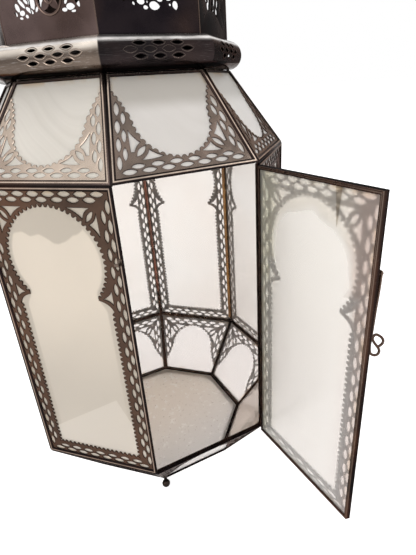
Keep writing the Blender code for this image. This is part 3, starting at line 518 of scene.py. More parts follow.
class Finishes:
    """Every material of the lantern, made once."""

    def __init__(self, plan: "Plan") -> None:
        """Make the materials.

        Args:
            plan: the lantern's places, which the panes' painted keyholes of light and height bands follow.
        """
        low = plan.collar_low
        # The pale rubbed colours of the channels and the collar also paint the highlights along their crests.
        # Where a lit colour is given, it paints light on the side facing the key lamp; the collar's highlight
        # band is a painted highlight there.
        self.channel = BronzeFinish("channel_bronze", (0.027, 0.017, 0.014), (0.010, 0.007, 0.007),
                                    (0.092, 0.040, 0.024), (0.60, 0.46, 0.37), 0.3, 0.5, 0.7).make()
        self.ridge = BronzeFinish("ridge_bronze", (0.050, 0.034, 0.028), (0.014, 0.011, 0.011),
                                  (0.15, 0.075, 0.047), (0.82, 0.66, 0.54), 0.26, 0.5, 1.0,
                                  lit_colour=(0.13, 0.092, 0.078)).make()
        self.filigree = BronzeFinish("filigree_bronze", (0.044, 0.024, 0.017), (0.023, 0.015, 0.012),
                                     (0.092, 0.043, 0.025), (0.24, 0.155, 0.11), 0.4, 0.6, 0.5, 0.8).make()
        self.shoulder = BronzeFinish("shoulder_bronze", (0.100, 0.067, 0.057), (0.044, 0.031, 0.028),
                                     (0.17, 0.10, 0.072), (0.52, 0.42, 0.34), 0.3, 0.5, 0.7, 0.85,
                                     lit_colour=(0.62, 0.51, 0.42)).make()
        self.collar = BronzeFinish("collar_bronze", (0.026, 0.019, 0.019), (0.013, 0.011, 0.012),
                                   (0.045, 0.028, 0.023), (1.0, 0.96, 0.93), 0.2, 0.5, 1.0, 0.95,
                                   (0.15, 0.15, 2.5), (0.15, 0.115, 0.092), speckle=0.25, fade=0.85,
                                   highlight_band=HeightBand(low + 13.5 * MM, low + 20 * MM, (1.0, 0.90, 0.79))).make()
        self.eyelet = BronzeFinish("eyelet_bronze", (0.060, 0.048, 0.044), (0.026, 0.022, 0.021),
                                   (0.10, 0.06, 0.05), (0.26, 0.21, 0.18), 0.28, 0.5, 0.7, 0.95,
                                   lit_colour=(0.40, 0.32, 0.26)).make()
        self.gallery = BronzeFinish("gallery_bronze", (0.016, 0.012, 0.014), (0.009, 0.007, 0.009),
                                    (0.042, 0.025, 0.020), (0.20, 0.14, 0.11), 0.3, 0.7, 0.7, 0.9,
                                    lit_colour=(0.115, 0.080, 0.074)).make()
        self.wire = BronzeFinish("latch_wire_black", (0.024, 0.016, 0.014), (0.012, 0.010, 0.010),
                                 (0.075, 0.043, 0.03), (0.22, 0.15, 0.115), 0.3).make()
        self.foot = BronzeFinish("foot_black", (0.010, 0.008, 0.008), (0.006, 0.005, 0.006),
                                 (0.026, 0.015, 0.012), (0.10, 0.075, 0.06), 0.3, 0.5, 0.5).make()
        body, top, neck = plan.body, plan.body.high_z, plan.shoulder.high_z
        self.pane = FrostedFinish("frosted_pane", (0.87, 0.81, 0.76), (0.90, 0.86, 0.82)).make()
        # Lighter copy of the frosted glass for the lower band: painted light.
        self.lower_lit_pane = FrostedFinish("frosted_pane_lower", (0.93, 0.87, 0.84), (0.97, 0.92, 0.89),
                                        0.76).make()
        self.shaded_pane = FrostedFinish("frosted_pane_shaded", (0.92, 0.82, 0.75), (0.96, 0.86, 0.79),
                                         0.6).make()
        # Darker copy of the frosted glass for the left body pane: painted shade, with a painted keyhole and a
        # painted patch of light.
        self.left_pane = FrostedFinish(
            "frosted_pane_keyhole", (0.585, 0.515, 0.425), (0.60, 0.53, 0.44), 0.35, 0.35,
            KeyholeLight(body.frame(SIDES - 1), body.slant, (0.80, 0.71, 0.595), (0.635, 0.565, 0.475),
                      light_patch=(0.73, 0.66, 0.57))).make()
        # Door pane: painted keyhole of light, painted shade towards its sides, a painted drip shadow, and a
        # greyer, rougher top.
        self.door_pane = FrostedFinish(
            "frosted_pane_door", (0.80, 0.755, 0.70), (0.84, 0.79, 0.74), 0.78, 0.34,
            KeyholeLight(plan.door_matrix @ body.frame(0), body.slant, (0.83, 0.795, 0.755),
                      (0.81, 0.78, 0.75), 0.6, 41.5 * MM, 52 * MM, 46 * MM, centre_drop=66 * MM,
                      top_drop=25 * MM, wave=20 * MM, softness=4 * MM, ragged=14 * MM,
                      drip_shadow=(-26.4 * MM, 23 * MM), side_shade=((0.68, 0.66, 0.54), (0.66, 0.54, 0.49))),
            HeightBand(top - 190 * MM, top - 50 * MM, (0.77, 0.73, 0.67), 0.65, 0.95), smooth=0.19).make()
        # Shoulder panes: painted shade and reflection of the dark collar along their tops.
        self.shoulder_pane = FrostedFinish(
            "frosted_pane_shoulder", (0.86, 0.82, 0.78), (0.90, 0.86, 0.82), 0.35, 0.35, wipe=0.12,
            height_band=HeightBand(neck - 30 * MM, neck - 18 * MM, (0.46, 0.42, 0.36), share=0.6)).make()
        # Lighter copy for the left shoulder pane, on the side facing the key lamp: painted light, with the
        # painted shade of the collar at its top.
        self.shoulder_lit_pane = FrostedFinish(
            "frosted_pane_shoulder_left", (0.95, 0.90, 0.81), (0.98, 0.93, 0.86), 0.35, 0.35, wipe=0.25,
            height_band=HeightBand(neck - 45 * MM, neck + 6 * MM, (0.66, 0.62, 0.56), share=0.6)).make()
        self.resin = BronzeFinish("amber_resin", (0.42, 0.165, 0.018), (0.20, 0.060, 0.012),
                                  (0.50, 0.21, 0.028), (0.95, 0.75, 0.48), 0.14, 0.7, 0.7, 0.15).make()
        self.red_resin = BronzeFinish("red_resin", (0.32, 0.055, 0.016), (0.14, 0.026, 0.010),
                                      (0.40, 0.09, 0.02), (0.9, 0.72, 0.6), 0.14, 0.7, 0.7, 0.15).make()
        self.base = BaseGlassFinish().make()


def corner(index: int, radius: float, z: float) -> Vector:
    """Corner of an octagon; corners 0 and 1 bound panel 0."""
    angle = -math.pi / 2 - HALF_STEP + STEP * index
    return Vector((radius * math.cos(angle), radius * math.sin(angle), z))


def side_ways(index: int) -> tuple[Vector, Vector]:
    """Way out from a side of the octagon, and the way along it."""
    angle = -math.pi / 2 + STEP * index
    return Vector((math.cos(angle), math.sin(angle), 0)), Vector((-math.sin(angle), math.cos(angle), 0))


def axes_at(place: Vector, x: Vector, y: Vector) -> Matrix:
    """Axes with a given X and Y, set at a place."""
    return Matrix.Translation(place) @ Matrix((x, y, x.cross(y))).transposed().to_4x4()


def circle(sides: int) -> Loop:
    """Cosine and sine of even steps once round."""
    angles = [2 * math.pi * k / sides for k in range(sides)]
    return [(math.cos(a), math.sin(a)) for a in angles]


def around(points: Sequence[Any]) -> Iterable[tuple[Any, Any]]:
    """Each item of a closed row with the next one."""
    return zip(points, [*points[1:], points[0]])


@dataclass(frozen=True)
class Tier:
    """One octagonal tier, flat or sloping, given by its outer corner radii and heights."""

    low_radius: float
    low_z: float
    high_radius: float
    high_z: float

    @property
    def slant(self) -> float:
        """Length of a panel up its slope."""
        return math.hypot(self.high_z - self.low_z, self.run)

    @property
    def run(self) -> float:
        """How far a panel leans out from its foot to its top."""
        return (self.high_radius - self.low_radius) * math.cos(HALF_STEP)

    @property
    def side_factor(self) -> float:
        """Widening of a margin that is square to a panel's slanted side."""
        lean = self.half_width(self.slant) - self.half_width(0)
        return math.hypot(self.slant, lean) / self.slant

    def half_width(self, up: float) -> float:
        """Half the panel's width at a distance up its slope."""
        radius = self.low_radius + (self.high_radius - self.low_radius) * up / self.slant
        return radius * math.sin(HALF_STEP)

    def frame(self, index: int) -> Matrix:
        """Panel axes: X along the panel, Y up its slope, Z outwards, with the origin at its foot."""
        radial, across = side_ways(index)
        up = (radial * self.run + UP * (self.high_z - self.low_z)) / self.slant
        return axes_at(radial * self.low_radius * math.cos(HALF_STEP) + UP * self.low_z, across, up)

    def inset(self, side: float, low: float, high: float) -> Loop:
        """Corners of the panel drawn in by a margin at its sides, its foot and its top."""
        margin = side * self.side_factor
        top = self.slant - high
        return [(-self.half_width(low) + margin, low), (self.half_width(low) - margin, low),
                (self.half_width(top) - margin, top), (-self.half_width(top) + margin, top)]


@dataclass(frozen=True)
class Plan:
    """Places and sizes that the pieces share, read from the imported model."""

    lower: Tier
    body: Tier
    shoulder: Tier
    collar_low: float
    gallery: Tier
    hinge: Vector
    latch: Vector
    eye: Vector
    door_turn: float = math.radians(92)

    @staticmethod
    def from_frame(frame: Mapping[str, Any]) -> "Plan":
        """Read the tiers from the boxes of the CAD nodes, and the axes from the joints."""
        apothem = math.cos(HALF_STEP)
        names = ("body_frame", "gallery", "lower_frame", "shoulder_frame")
        body, gallery, lower, shoulder = (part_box(name) for name in names)
        body_radius = body[1].x / apothem
        gallery_radius = gallery[1].x / apothem
        base_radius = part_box("base_plate")[1].x / apothem + Channel.shelf_cover
        joints = {joint["name"]: Vector(joint["pos_m"]) for joint in frame["joints"]}
        return Plan(
            lower=Tier(base_radius, lower[0].z, body_radius, lower[1].z),
            body=Tier(body_radius, body[0].z, body_radius, body[1].z),
            shoulder=Tier(body_radius, shoulder[0].z, gallery_radius + Channel.neck_step, shoulder[1].z),
            collar_low=shoulder[1].z,
            gallery=Tier(gallery_radius, gallery[0].z, gallery_radius, gallery[1].z),
            hinge=joints["door_hinge"], latch=joints["latch_swing"], eye=joints["ring_swing"])

    @property
    def door_matrix(self) -> Matrix:
        """Turn from the closed door's place to the open one of the photograph."""
        return (Matrix.Translation(self.hinge) @ Matrix.Rotation(self.door_turn, 4, 'Z')
                @ Matrix.Translation(-self.hinge))


class Shapes:
    """Outlines and meshes that several sub-assemblies use."""

    @staticmethod
    def lens(x: float, y: float, length: float, width: float, angle: float, steps: int = 5,
             point: float = 0.85) -> Loop:
        """Pointed hole of two arcs.

        Args:
            x: its centre along the panel.
            y: its centre up the panel.
            length: from point to point.
            width: at its middle.
            angle: of its length, from the panel's X.
            steps: stretches of each arc.
            point: how sharp its ends are, up to 1.

        Returns:
            The hole's outline.
        """
        c, s = math.cos(angle), math.sin(angle)
        loop = []
        for side in (1, -1):
            for i in range(steps):
                share = i / steps
                u = side * (0.5 - share) * length
                v = side * math.sin(math.pi * share) ** point * width / 2
                loop.append((x + u * c - v * s, y + u * s + v * c))
        return loop

    @staticmethod
    def bowed(corners: Sequence[Point], bows: Sequence[float], steps: int = 4) -> Loop:
        """Polygon whose sides bow.

        Args:
            corners: its corners in order.
            bows: how far each side's middle moves to its left, as a share of the side.
            steps: stretches of each side.

        Returns:
            The outline.
        """
        loop = []
        for ((ax, ay), (bx, by)), bow in zip(around(corners), bows):
            for i in range(steps):
                t = i / steps
                lift = 4 * t * (1 - t) * bow
                loop.append((ax + (bx - ax) * t - (by - ay) * lift, ay + (by - ay) * t + (bx - ax) * lift))
        return loop

    @staticmethod
    def blob(x: float, y: float, length: float, width: float, angle: float, point: float = 0.0) -> Loop:
        """Rounded hole, drawn to a point at one end where point is above 0."""
        c, s = math.cos(angle), math.sin(angle)
        loop = []
        for cosine, sine in circle(12):
            u, v = length / 2 * cosine, width / 2 * sine * (1 - point * max(0.0, cosine) ** 2)
            loop.append((x + u * c - v * s, y + u * s + v * c))
        return loop

    @staticmethod
    def waves(path: Path2D, pitch: float, depth: float) -> Loop:
        """Scalloped edge along a path.

        Args:
            path: what gives its point, and the way into the opening, at a share of it, and its length.
            pitch: of the scallops.
            depth: how far they reach into the opening.

        Returns:
            Points of the edge, without the path's last point.
        """
        place, length = path
        count = max(1, round(length / pitch))
        loop = []
        for i in range(count):
            for t, rise in ((0.0, 0.0), (0.13, 0.12), (0.2, 0.6), (0.32, 0.93), (0.5, 1.0), (0.68, 0.93),
                            (0.8, 0.6), (0.87, 0.12)):
                share = (i + t) / count
                point, inward = place(share)
                reach = min(abs(depth) * rise, 0.8 * length * min(share, 1 - share))
                edge = point + inward * math.copysign(reach, depth)
                loop.append((edge.x, edge.y))
        return loop

    @staticmethod
    def straight(start: Point, end: Point) -> Path2D:
        """Straight path whose opening lies to its left."""
        a, b = Vector((*start, 0)), Vector((*end, 0))
        inward = UP.cross(b - a).normalized()
        return lambda share: (a.lerp(b, share), inward), math.dist(start, end)

    @staticmethod
    def arc(centre: Point, radius: float, start: float, end: float) -> Path2D:
        """Round path whose opening lies towards its centre."""
        def place(share: float) -> tuple[Vector, Vector]:
            """Point and inward way at a share of the arc."""
            angle = start + (end - start) * share
            out = Vector((math.cos(angle), math.sin(angle), 0))
            return Vector((*centre, 0)) + out * radius, -out
        return place, radius * abs(end - start)

    @staticmethod
    def mirrored(loop: Loop) -> Loop:
        """A loop's twin on the other half of the panel, in the other order."""
        return [(-x, y) for x, y in reversed(loop)]


class Maker:
    """Turns meshes into pieces that ride on a body and stand for CAD nodes."""

    count = 0

    @staticmethod
    def link(name: str, data: Any) -> bpy.types.Object:
        """Put an object with given data into the scene."""
        item = bpy.data.objects.new(name, data)
        bpy.context.scene.collection.objects.link(item)
        return item

    @classmethod
    def piece(cls, name: str, mesh: bpy.types.Mesh, material: bpy.types.Material, slot: Slot,
              *replaces: str, body: Body = Body.LANTERN) -> None:
        """Make a piece.

        Args:
            name: of the piece.
            mesh: its mesh, in the resting frame.
            material: its finish.
            slot: the record's material slot; it is not used.
            replaces: CAD nodes that it stands for.
            body: what it moves with.
        """
        mesh.name = name
        mesh.materials.append(material)
        mesh.shade_smooth()
        mesh.set_sharp_from_angle(angle=SMOOTH_ANGLE)
        item = cls.link(name, mesh)
        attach(item, body.value)
        if replaces:
            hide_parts(*replaces)
        cls.count += 1
        LOG.info("%s: %d faces on %s", name, len(mesh.polygons), body.value)

    @staticmethod
    def from_bmesh(bm: bmesh.types.BMesh, turn: bool = True) -> bpy.types.Mesh:
        """Close a bmesh into a mesh, with its faces turned outwards where that is asked for."""
        if turn:
            bmesh.ops.recalc_face_normals(bm, faces=bm.faces)
        mesh = bpy.data.meshes.new("piece")
        bm.to_mesh(mesh)
        bm.free()
        return mesh

    @staticmethod
    def pierced_faces(loops: Sequence[Loop]) -> tuple[Loop, list[tuple[int, ...]]]:
        """Triangles of a flat sheet, whose holes may run into each other.

        Args:
            loops: the outline first, then the holes.

        Returns:
            The points, and the triangles that lie in the outline and in no hole.
        """
        points: list[Vector] = []
        faces: list[list[int]] = []
        for loop in loops:
            turn = sum(ax * by - bx * ay for (ax, ay), (bx, by) in around(loop))
            loop = loop if turn > 0 else loop[::-1]
            faces.append(list(range(len(points), len(points) + len(loop))))
            points += [Vector((x / MM, y / MM)) for x, y in loop]
        found, _, triangles, _, _, owners = geometry.delaunay_2d_cdt(points, [], faces, 0, 1e-5, True)
        kept = [tuple(face) for face, owner in zip(triangles, owners) if set(owner) == {0}]
        return [(v.x * MM, v.y * MM) for v in found], kept

    @classmethod
    def sheet(cls, loops: Sequence[Loop], thickness: float, rim: float, lift: float,
              matrix: Matrix, wear_and_highlight: float = 0.4) -> bpy.types.Mesh:
        """Pierced sheet whose edges roll back a little at its holes.

        Args:
            loops: the outline first, then the holes, in panel axes.
            thickness: of the sheet.
            rim: width of the rolled edge.
            lift: how far it rolls back.
            matrix: the panel's axes, at the front of the sheet.
            wear_and_highlight: value of rub and painted highlight on its front.

        Returns:
            The mesh, with a painted value: rub and painted highlight on its front, painted shade round its
                holes, and a lighter back.
        """
        points, triangles = cls.pierced_faces(loops)
        directed = {(t[i], t[(i + 1) % 3]) for t in triangles for i in range(3)}
        border = sorted((a, b) for a, b in directed if (b, a) not in directed)
        sideways: dict[int, Vector] = {}
        for a, b in border:
            along = (Vector(points[b]) - Vector(points[a])).normalized()
            for i in (a, b):
                sideways[i] = sideways.get(i, Vector((0, 0))) + Vector((-along.y, along.x))
        bm = bmesh.new()
        layer = bm.verts.layers.float.new("wear_highlight_shade")
        # Each row's inset, height and painted value: rub and painted highlight on the front, painted shade at
        # the hole edges, a lighter back.
        rows = ((rim, 0.0, wear_and_highlight), (rim * 0.55, -lift * 0.3, wear_and_highlight * 0.3), (0.0, -lift, -0.85),
                (0.0, -thickness * 0.7, -0.85), (0.0, -thickness, 0.3))
        rings: list[dict[int, bmesh.types.BMVert]] = []
        for inset, z, wear_highlight_shade in rows:
            ring = {}
            for i, way in sideways.items():
                reach = inset / max(way.length / 2, 0.6) if way.length else 0.0
                shift = way.normalized() * min(reach, inset * 1.6)
                vert = bm.verts.new(matrix @ Vector((points[i][0] + shift.x, points[i][1] + shift.y, z)))
                vert[layer] = wear_highlight_shade
                ring[i] = vert
            rings.append(ring)
        for t in triangles:
            bm.faces.new([rings[0][i] for i in t])
            bm.faces.new([rings[-1][i] for i in reversed(t)])
        for upper, lower in zip(rings, rings[1:]):
            for a, b in border:
                bm.faces.new((upper[b], upper[a], lower[a], lower[b]))
        return cls.from_bmesh(bm, turn=False)

    @classmethod
    def joined(cls, meshes: Iterable[bpy.types.Mesh]) -> bpy.types.Mesh:
        """Join meshes into one, keeping their painted values."""
        bm = bmesh.new()
        for mesh in meshes:
            bm.from_mesh(mesh)
            bpy.data.meshes.remove(mesh)
        return cls.from_bmesh(bm, turn=False)

    @staticmethod
    def bridge(bm: bmesh.types.BMesh, rings: Sequence[Sequence[bmesh.types.BMVert]], closed: bool) -> None:
        """Join neighbouring rings of points with faces, and the last to the first where closed."""
        for a, b in around(rings) if closed else zip(rings, rings[1:]):
            for (a_here, a_next), (b_here, b_next) in zip(around(a), around(b)):
                bm.faces.new((a_here, a_next, b_next, b_here))

    @classmethod
    def loft(cls, rings: Iterable[Iterable[Sequence[Any]]], closed: bool = False,
             names: Sequence[str] = ("wear_highlight_shade",)) -> bpy.types.Mesh:
        """Skin over rings of points, capped at its ends or closed into itself.

        Args:
            rings: each point's place, followed by its painted values.
            closed: whether the last ring joins the first.
            names: of the painted values.

        Returns:
            The mesh.
        """
        bm = bmesh.new()
        layers = [bm.verts.layers.float.new(name) for name in names]
        rows = []
        for ring in rings:
            row = []
            for place, *values in ring:
                vert = bm.verts.new(place)
                for layer, value in zip(layers, values):
                    vert[layer] = value
                row.append(vert)
            rows.append(row)
        cls.bridge(bm, rows, closed)
        if not closed:
            bm.faces.new(rows[0])
            bm.faces.new(rows[-1])
        return cls.from_bmesh(bm)

    @classmethod
    def tube(cls, path: Sequence[Vector], radius: float, sides: int = 12, closed: bool = False,
             wear_and_highlight: float = 0.0) -> bpy.types.Mesh:
        """Round wire along a path, with hemispherical ends where it is open.

        Args:
            path: points of its centreline.
            radius: of the wire.
            sides: points round it.
            closed: whether it runs into itself.
            wear_and_highlight: value of rub and painted highlight at all its points.

        Returns:
            The mesh.
        """
        count = len(path)
        stops: list[tuple[Vector, Vector, float]] = []
        for i, point in enumerate(path):
            ahead = path[(i + 1) % count] if closed else path[min(i + 1, count - 1)]
            behind = path[i - 1] if closed or i else path[0]
            stops.append((point, (ahead - behind).normalized(), radius))
        if not closed:
            head, tail = stops[0], stops[-1]
            for share in (0.5, 0.86):
                swell = radius * math.sqrt(1 - share * share)
                stops.insert(0, (head[0] - head[1] * radius * share, head[1], swell))
                stops.append((tail[0] + tail[1] * radius * share, tail[1], swell))
        normal = stops[0][1].orthogonal().normalized()
        rings = []
        for point, along, swell in stops:
            normal = (normal - along * normal.dot(along)).normalized()
            third = along.cross(normal)
            rings.append([(point + (normal * c + third * s) * swell, wear_and_highlight) for c, s in circle(sides)])
        return cls.loft(rings, closed)

    @classmethod
    def turned(cls, profile: Sequence[Row], matrix: Matrix, sides: int) -> bpy.types.Mesh:
        """Piece turned round a matrix's Z from a profile of radius, height and painted value for wear,
        highlight and shade, closed at both ends.
        """
        return cls.loft([[(matrix @ Vector((radius * c, radius * s, z)), wear_and_highlight) for c, s in circle(sides)]
                         for radius, z, wear_and_highlight in profile])

    @staticmethod
    def cut(mesh: bpy.types.Mesh, cutter: bpy.types.Mesh) -> bpy.types.Mesh:
        """Cut one mesh out of another."""
        target, tool = Maker.link("target", mesh), Maker.link("tool", cutter)
        modifier = target.modifiers.new("cut", 'BOOLEAN')
        modifier.operation = 'DIFFERENCE'
        modifier.solver = 'EXACT'
        modifier.object = tool
        bpy.context.view_layer.update()
        result = bpy.data.meshes.new_from_object(target.evaluated_get(bpy.context.evaluated_depsgraph_get()))
        for item in (target, tool):
            bpy.data.objects.remove(item)
        return result


@dataclass
class Channel:
    """Rounded U-channel that holds one pane, mitred at the panel's corners."""

    width: float = 4.4 * MM
    back_width: float = 3.2 * MM
    depth: float = 4.7 * MM
    seam: float = 0.12 * MM
    crown: float = 1.0 * MM
    shelf_cover: float = 6.3 * MM
    neck_step: float = 2.0 * MM

    def profile(self) -> list[tuple[float, float, float, float]]:
        """Margin, height, mitre share and painted value for wear, highlight and shade of each line of the
        channel, from its inner leg over.
        """
        # Back of the channel, with a painted highlight line along its middle.
        points = [(self.seam + (self.back_width - self.seam) * share, -self.depth, 1.0 - share, wear_highlight_shade)
                  for share, wear_highlight_shade in ((0.2, -0.1), (0.5, 0.3), (0.75, 0.0), (1.0, -0.3))]
        # Painted shade down the outer wall.
        points += [(self.back_width, -4.0 * MM, 0.0, 0.1), (self.width - 0.3 * MM, -1.9 * MM, 0.0, -0.6),
                   (self.width, -1.3 * MM, 0.0, -0.5)]
        # Rounded crown: a narrow painted highlight along the crest, painted shade down its sides.
        for degrees in (8, 28, 50, 66, 78, 90, 102, 114, 130, 152, 172):
            a = math.radians(degrees)
            margin = self.seam + (self.width - self.seam) * (0.5 + 0.5 * math.cos(a))
            points.append((margin, self.crown * (math.sin(a) - 1), 0.0, 1.8 * math.sin(a) ** 16 - 0.8))
        # Painted shade in the groove by the seam.
        return [*points, (self.seam, -1.5 * MM, 1.0, -0.8), (self.seam, -self.depth, 1.0, 0.35)]

    def mesh(self, tier: Tier, matrix: Matrix, mitre: Row,
             trim: float = 0.0, narrow_top: float = 1.0) -> bpy.types.Mesh:
        """Channel round one panel.

        Args:
            tier: the panel's tier.
            matrix: the panel's axes.
            mitre: how fast its outer wall leans in with depth at the sides, the foot and the top.
            trim: how much smaller than the panel it is all round.
            narrow_top: width of its top bar, as a share of the others.

        Returns:
            The mesh.
        """
        rings = []
        for margin, height, leaning, wear_highlight_shade in self.profile():
            lean = max(0.0, -height) * leaning
            inset = (trim + margin * share + lean * slope
                     for slope, share in zip(mitre, (1.0, 1.0, narrow_top)))
            rings.append([(matrix @ Vector((x, y, height)), wear_highlight_shade) for x, y in tier.inset(*inset)])
        return Maker.loft(rings, True)


@dataclass
class PiercedBorder:
    """Double row of pointed holes that edges every filigree sheet."""

    hole_length: float = 11.6 * MM
    hole_width: float = 4.1 * MM
    scallop_pitch: float = 5.0 * MM
    scallop_depth: float = 2.5 * MM
    hole_steps: int = 6
    hole_point: float = 0.68
    inner_scale: float = 0.94
    wobble: float = 0.12 * MM
    seed: int = 7

    def __post_init__(self) -> None:
        """Start the punch's small wander."""
        self.random = random.Random(self.seed)

    def hole(self, x: float, y: float, angle: float, scale: float = 1.0, broad: float = 1.0) -> Loop:
        """One punched hole, a hair out of line as hand work is."""
        nudge = self.random.uniform
        return Shapes.lens(x + nudge(-self.wobble, self.wobble), y + nudge(-self.wobble, self.wobble),
                           self.hole_length * scale * nudge(0.97, 1.03),
                           self.hole_width * scale * broad * nudge(0.95, 1.05), angle + nudge(-0.02, 0.02),
                           self.hole_steps, self.hole_point)

    def scalloped(self, path: Path2D, side: int = 1) -> Loop:
        """Scallops along a path, into the opening where the side is 1."""
        return Shapes.waves(path, self.scallop_pitch, self.scallop_depth * side)


@dataclass
class TallPattern(PiercedBorder):
    """Filigree of a tall panel: staggered border rows, a horned arch and pierced corners."""

    margin: float = 3.0 * MM
    outer_row: float = 6.6 * MM
    inner_row: float = 11.1 * MM
    border: float = 16.4 * MM
    foot_border: float = 16.9 * MM
    row_start: float = 16.0 * MM
    side_count: int = 18
    end_count: int = 8
    end_pitch: float = 14.12 * MM
    end_breadth: float = 1.1
    arch_radius: float = 47.3 * MM
    arch_drop: float = 61.8 * MM
    horn_reach: float = 29.0 * MM
    horn_drop: float = 95.0 * MM
    horn_foot: float = 104.5 * MM

    def opening(self, half: float, height: float) -> Loop:
        """Outline of the arch's opening, anticlockwise from its lower left corner."""
        inner = half - self.border
        foot = height - self.horn_foot
        tip = (half - self.horn_reach, height - self.horn_drop)
        centre = (0.0, height - self.arch_drop)
        angle = math.atan2(tip[1] - centre[1], tip[0])
        loop = self.scalloped(Shapes.straight((-inner, self.foot_border), (inner, self.foot_border)))
        side = self.scalloped(Shapes.straight((inner, self.foot_border), (inner, foot)))
        hook = self.hook((inner, foot), tip)
        arch = self.scalloped(Shapes.arc(centre, self.arch_radius, angle, math.pi - angle))
        return loop + side + hook + arch + Shapes.mirrored(side + hook)[:-1]

    def hook(self, foot: Point, tip: Point) -> Loop:
        """Smooth hollow under a horn, from the border to the horn's tip."""
        control = (foot[0] - 2.8 * MM, tip[1] - 2.4 * MM)
        steps = [i / 7 for i in range(7)]
        return [*(tuple((1 - t) ** 2 * a + 2 * t * (1 - t) * c + t * t * b
                        for a, c, b in zip(foot, control, tip)) for t in steps), tip]

    def corner_holes(self, half: float, height: float) -> list[Loop]:
        """Petal, two thorns and the horn's hole beside the arch, on the right half."""
        petal = Shapes.lens(half - 23.4 * MM, height - 23.6 * MM, 11.0 * MM, 3.8 * MM, math.radians(50))
        cuts = ((((22.3, 16.8), (42.2, 16.8), (29.6, 25.4)), (0.0, 0.07, 0.14)),
                (((16.8, 39.8), (17.2, 20.3), (24.6, 30.2)), (0.0, 0.14, 0.07)),
                (((15.6, 98.2), (15.6, 85.6), (24.6, 93.6)), (0.0, 0.08, 0.12)))
        return [petal] + [Shapes.bowed([(half - x * MM, height - y * MM) for x, y in corners], bows)
                          for corners, bows in cuts]

    def loops(self, half: float, height: float, trim: float = 0.0) -> list[Loop]:
        """Outline and holes of the sheet.

        Args:
            half: half the panel's width.
            height: of the panel.
            trim: how much smaller than the panel its frame is.

        Returns:
            The outline, then the holes.
        """
        edge = self.margin + trim
        loops = [[(-half + edge, edge), (half - edge, edge), (half - edge, height - edge),
                  (-half + edge, height - edge)], self.opening(half, height)]
        for loop in self.corner_holes(half, height):
            loops += [loop, Shapes.mirrored(loop)]
        pitch = (height - 2 * self.row_start) / (self.side_count - 1)
        staggered = ((self.outer_row, 0, 1.0), (self.inner_row, 1, self.inner_scale))
        for side in (-1, 1):
            for margin, fewer, scale in staggered:
                loops += [self.hole(side * (half - margin), self.row_start + pitch * (i + fewer / 2),
                                    math.pi / 2, scale) for i in range(self.side_count - fewer)]
        for at_top in (False, True):
            for margin, fewer, scale in staggered:
                y = height - margin if at_top else margin
                loops += [self.hole((i - (self.end_count - 1 - fewer) / 2) * self.end_pitch, y, 0.0, scale,
                                    self.end_breadth) for i in range(self.end_count - fewer)]
        return loops


@dataclass
class SlopingPattern(PiercedBorder):
    """Filigree of a sloping panel: a round opening that flares out to the narrow end."""

    margin: float = 3.0 * MM
    outer_row: float = 8.3 * MM
    inner_row: float = 12.2 * MM
    end_pitch: float = 15.3 * MM
    side_outer: float = 7.8 * MM
    side_inner: float = 12.2 * MM
    side_pitch: float = 14.3 * MM
    side_start: float = 16.3 * MM
    radius: float = 33.6 * MM
    centre: float = 48.2 * MM
    scallop_pitch: float = 5.9 * MM
    scallop_depth: float = 1.9 * MM

    def edge_sheet(self, half: Callable[[float], float], factor: float) -> Loop:
        """Outline of the U-shaped sheet, from its left arm's tip round the foot to the right arm."""
        rise = math.radians(4)
        tip_y = self.centre + 27 * MM
        tip_x = half(tip_y) - self.margin * factor
        flare = [(tip_x, tip_y), (self.radius + 4.6 * MM, self.centre + 18.0 * MM),
                 (self.radius + 1.9 * MM, self.centre + 8.6 * MM)]
        round_end = self.radius * math.cos(rise), self.centre + self.radius * math.sin(rise)
        arm = []
        for start, end in zip(flare, [*flare[1:], round_end]):
            arm += self.scalloped(Shapes.straight(start, end), -1)
        arch = self.scalloped(Shapes.arc((0.0, self.centre), self.radius, rise, -math.pi - rise))
        x = half(self.margin) - self.margin * factor
        return [(-x, self.margin), (x, self.margin)] + arm + arch + Shapes.mirrored(arm)

    def corner_holes(self) -> list[Loop]:
        """Petal and the thorns round it on the right half."""
        petal = Shapes.lens(32.6 * MM, 23.6 * MM, 12.2 * MM, 4.2 * MM, math.radians(-41))
        cuts = ((((40.6, 23.6), (38.0, 41.6), (31.4, 30.6), (38.0, 23.4)), (0.0, 0.06, 0.08, 0.0)),
                (((34.2, 16.6), (26.2, 24.2), (16.2, 17.8)), (0.1, 0.06, -0.04)))
        return [petal] + [Shapes.bowed([(x * MM, y * MM) for x, y in corners], bows)
                          for corners, bows in cuts]

    def loops(self, tier: Tier, wide_end_up: bool) -> list[Loop]:
        """Outline and holes of the sheet, drawn from the wide end and turned over where that is up."""
        length = tier.slant
        factor = tier.side_factor

        def half(from_wide: float) -> float:
            """Half the panel's width at a distance from its wide end."""
            return tier.half_width(length - from_wide if wide_end_up else from_wide)

        loops = [self.edge_sheet(half, factor)]
        for loop in self.corner_holes():
            loops += [loop, Shapes.mirrored(loop)]
        lean = math.atan2(half(0) - half(length), length)
        side_rows = ((4, self.side_outer, 0.0, 0.98), (3, self.side_inner, 0.45, 0.9))
        for side in (-1, 1):
            angle = math.pi / 2 + side * lean
            for count, margin, shift, scale in side_rows:
                for i in range(count):
                    y = self.side_start + self.side_pitch * (i + shift)
                    loops.append(self.hole(side * (half(y) - margin * factor), y, angle, scale))
        for count, y, scale in ((7, self.outer_row, 1.0), (6, self.inner_row, self.inner_scale)):
            loops += [self.hole((i - (count - 1) / 2) * self.end_pitch, y, 0.0, scale) for i in range(count)]
        if wide_end_up:
            return [[(x, length - y) for x, y in loop] for loop in loops]
        return loops


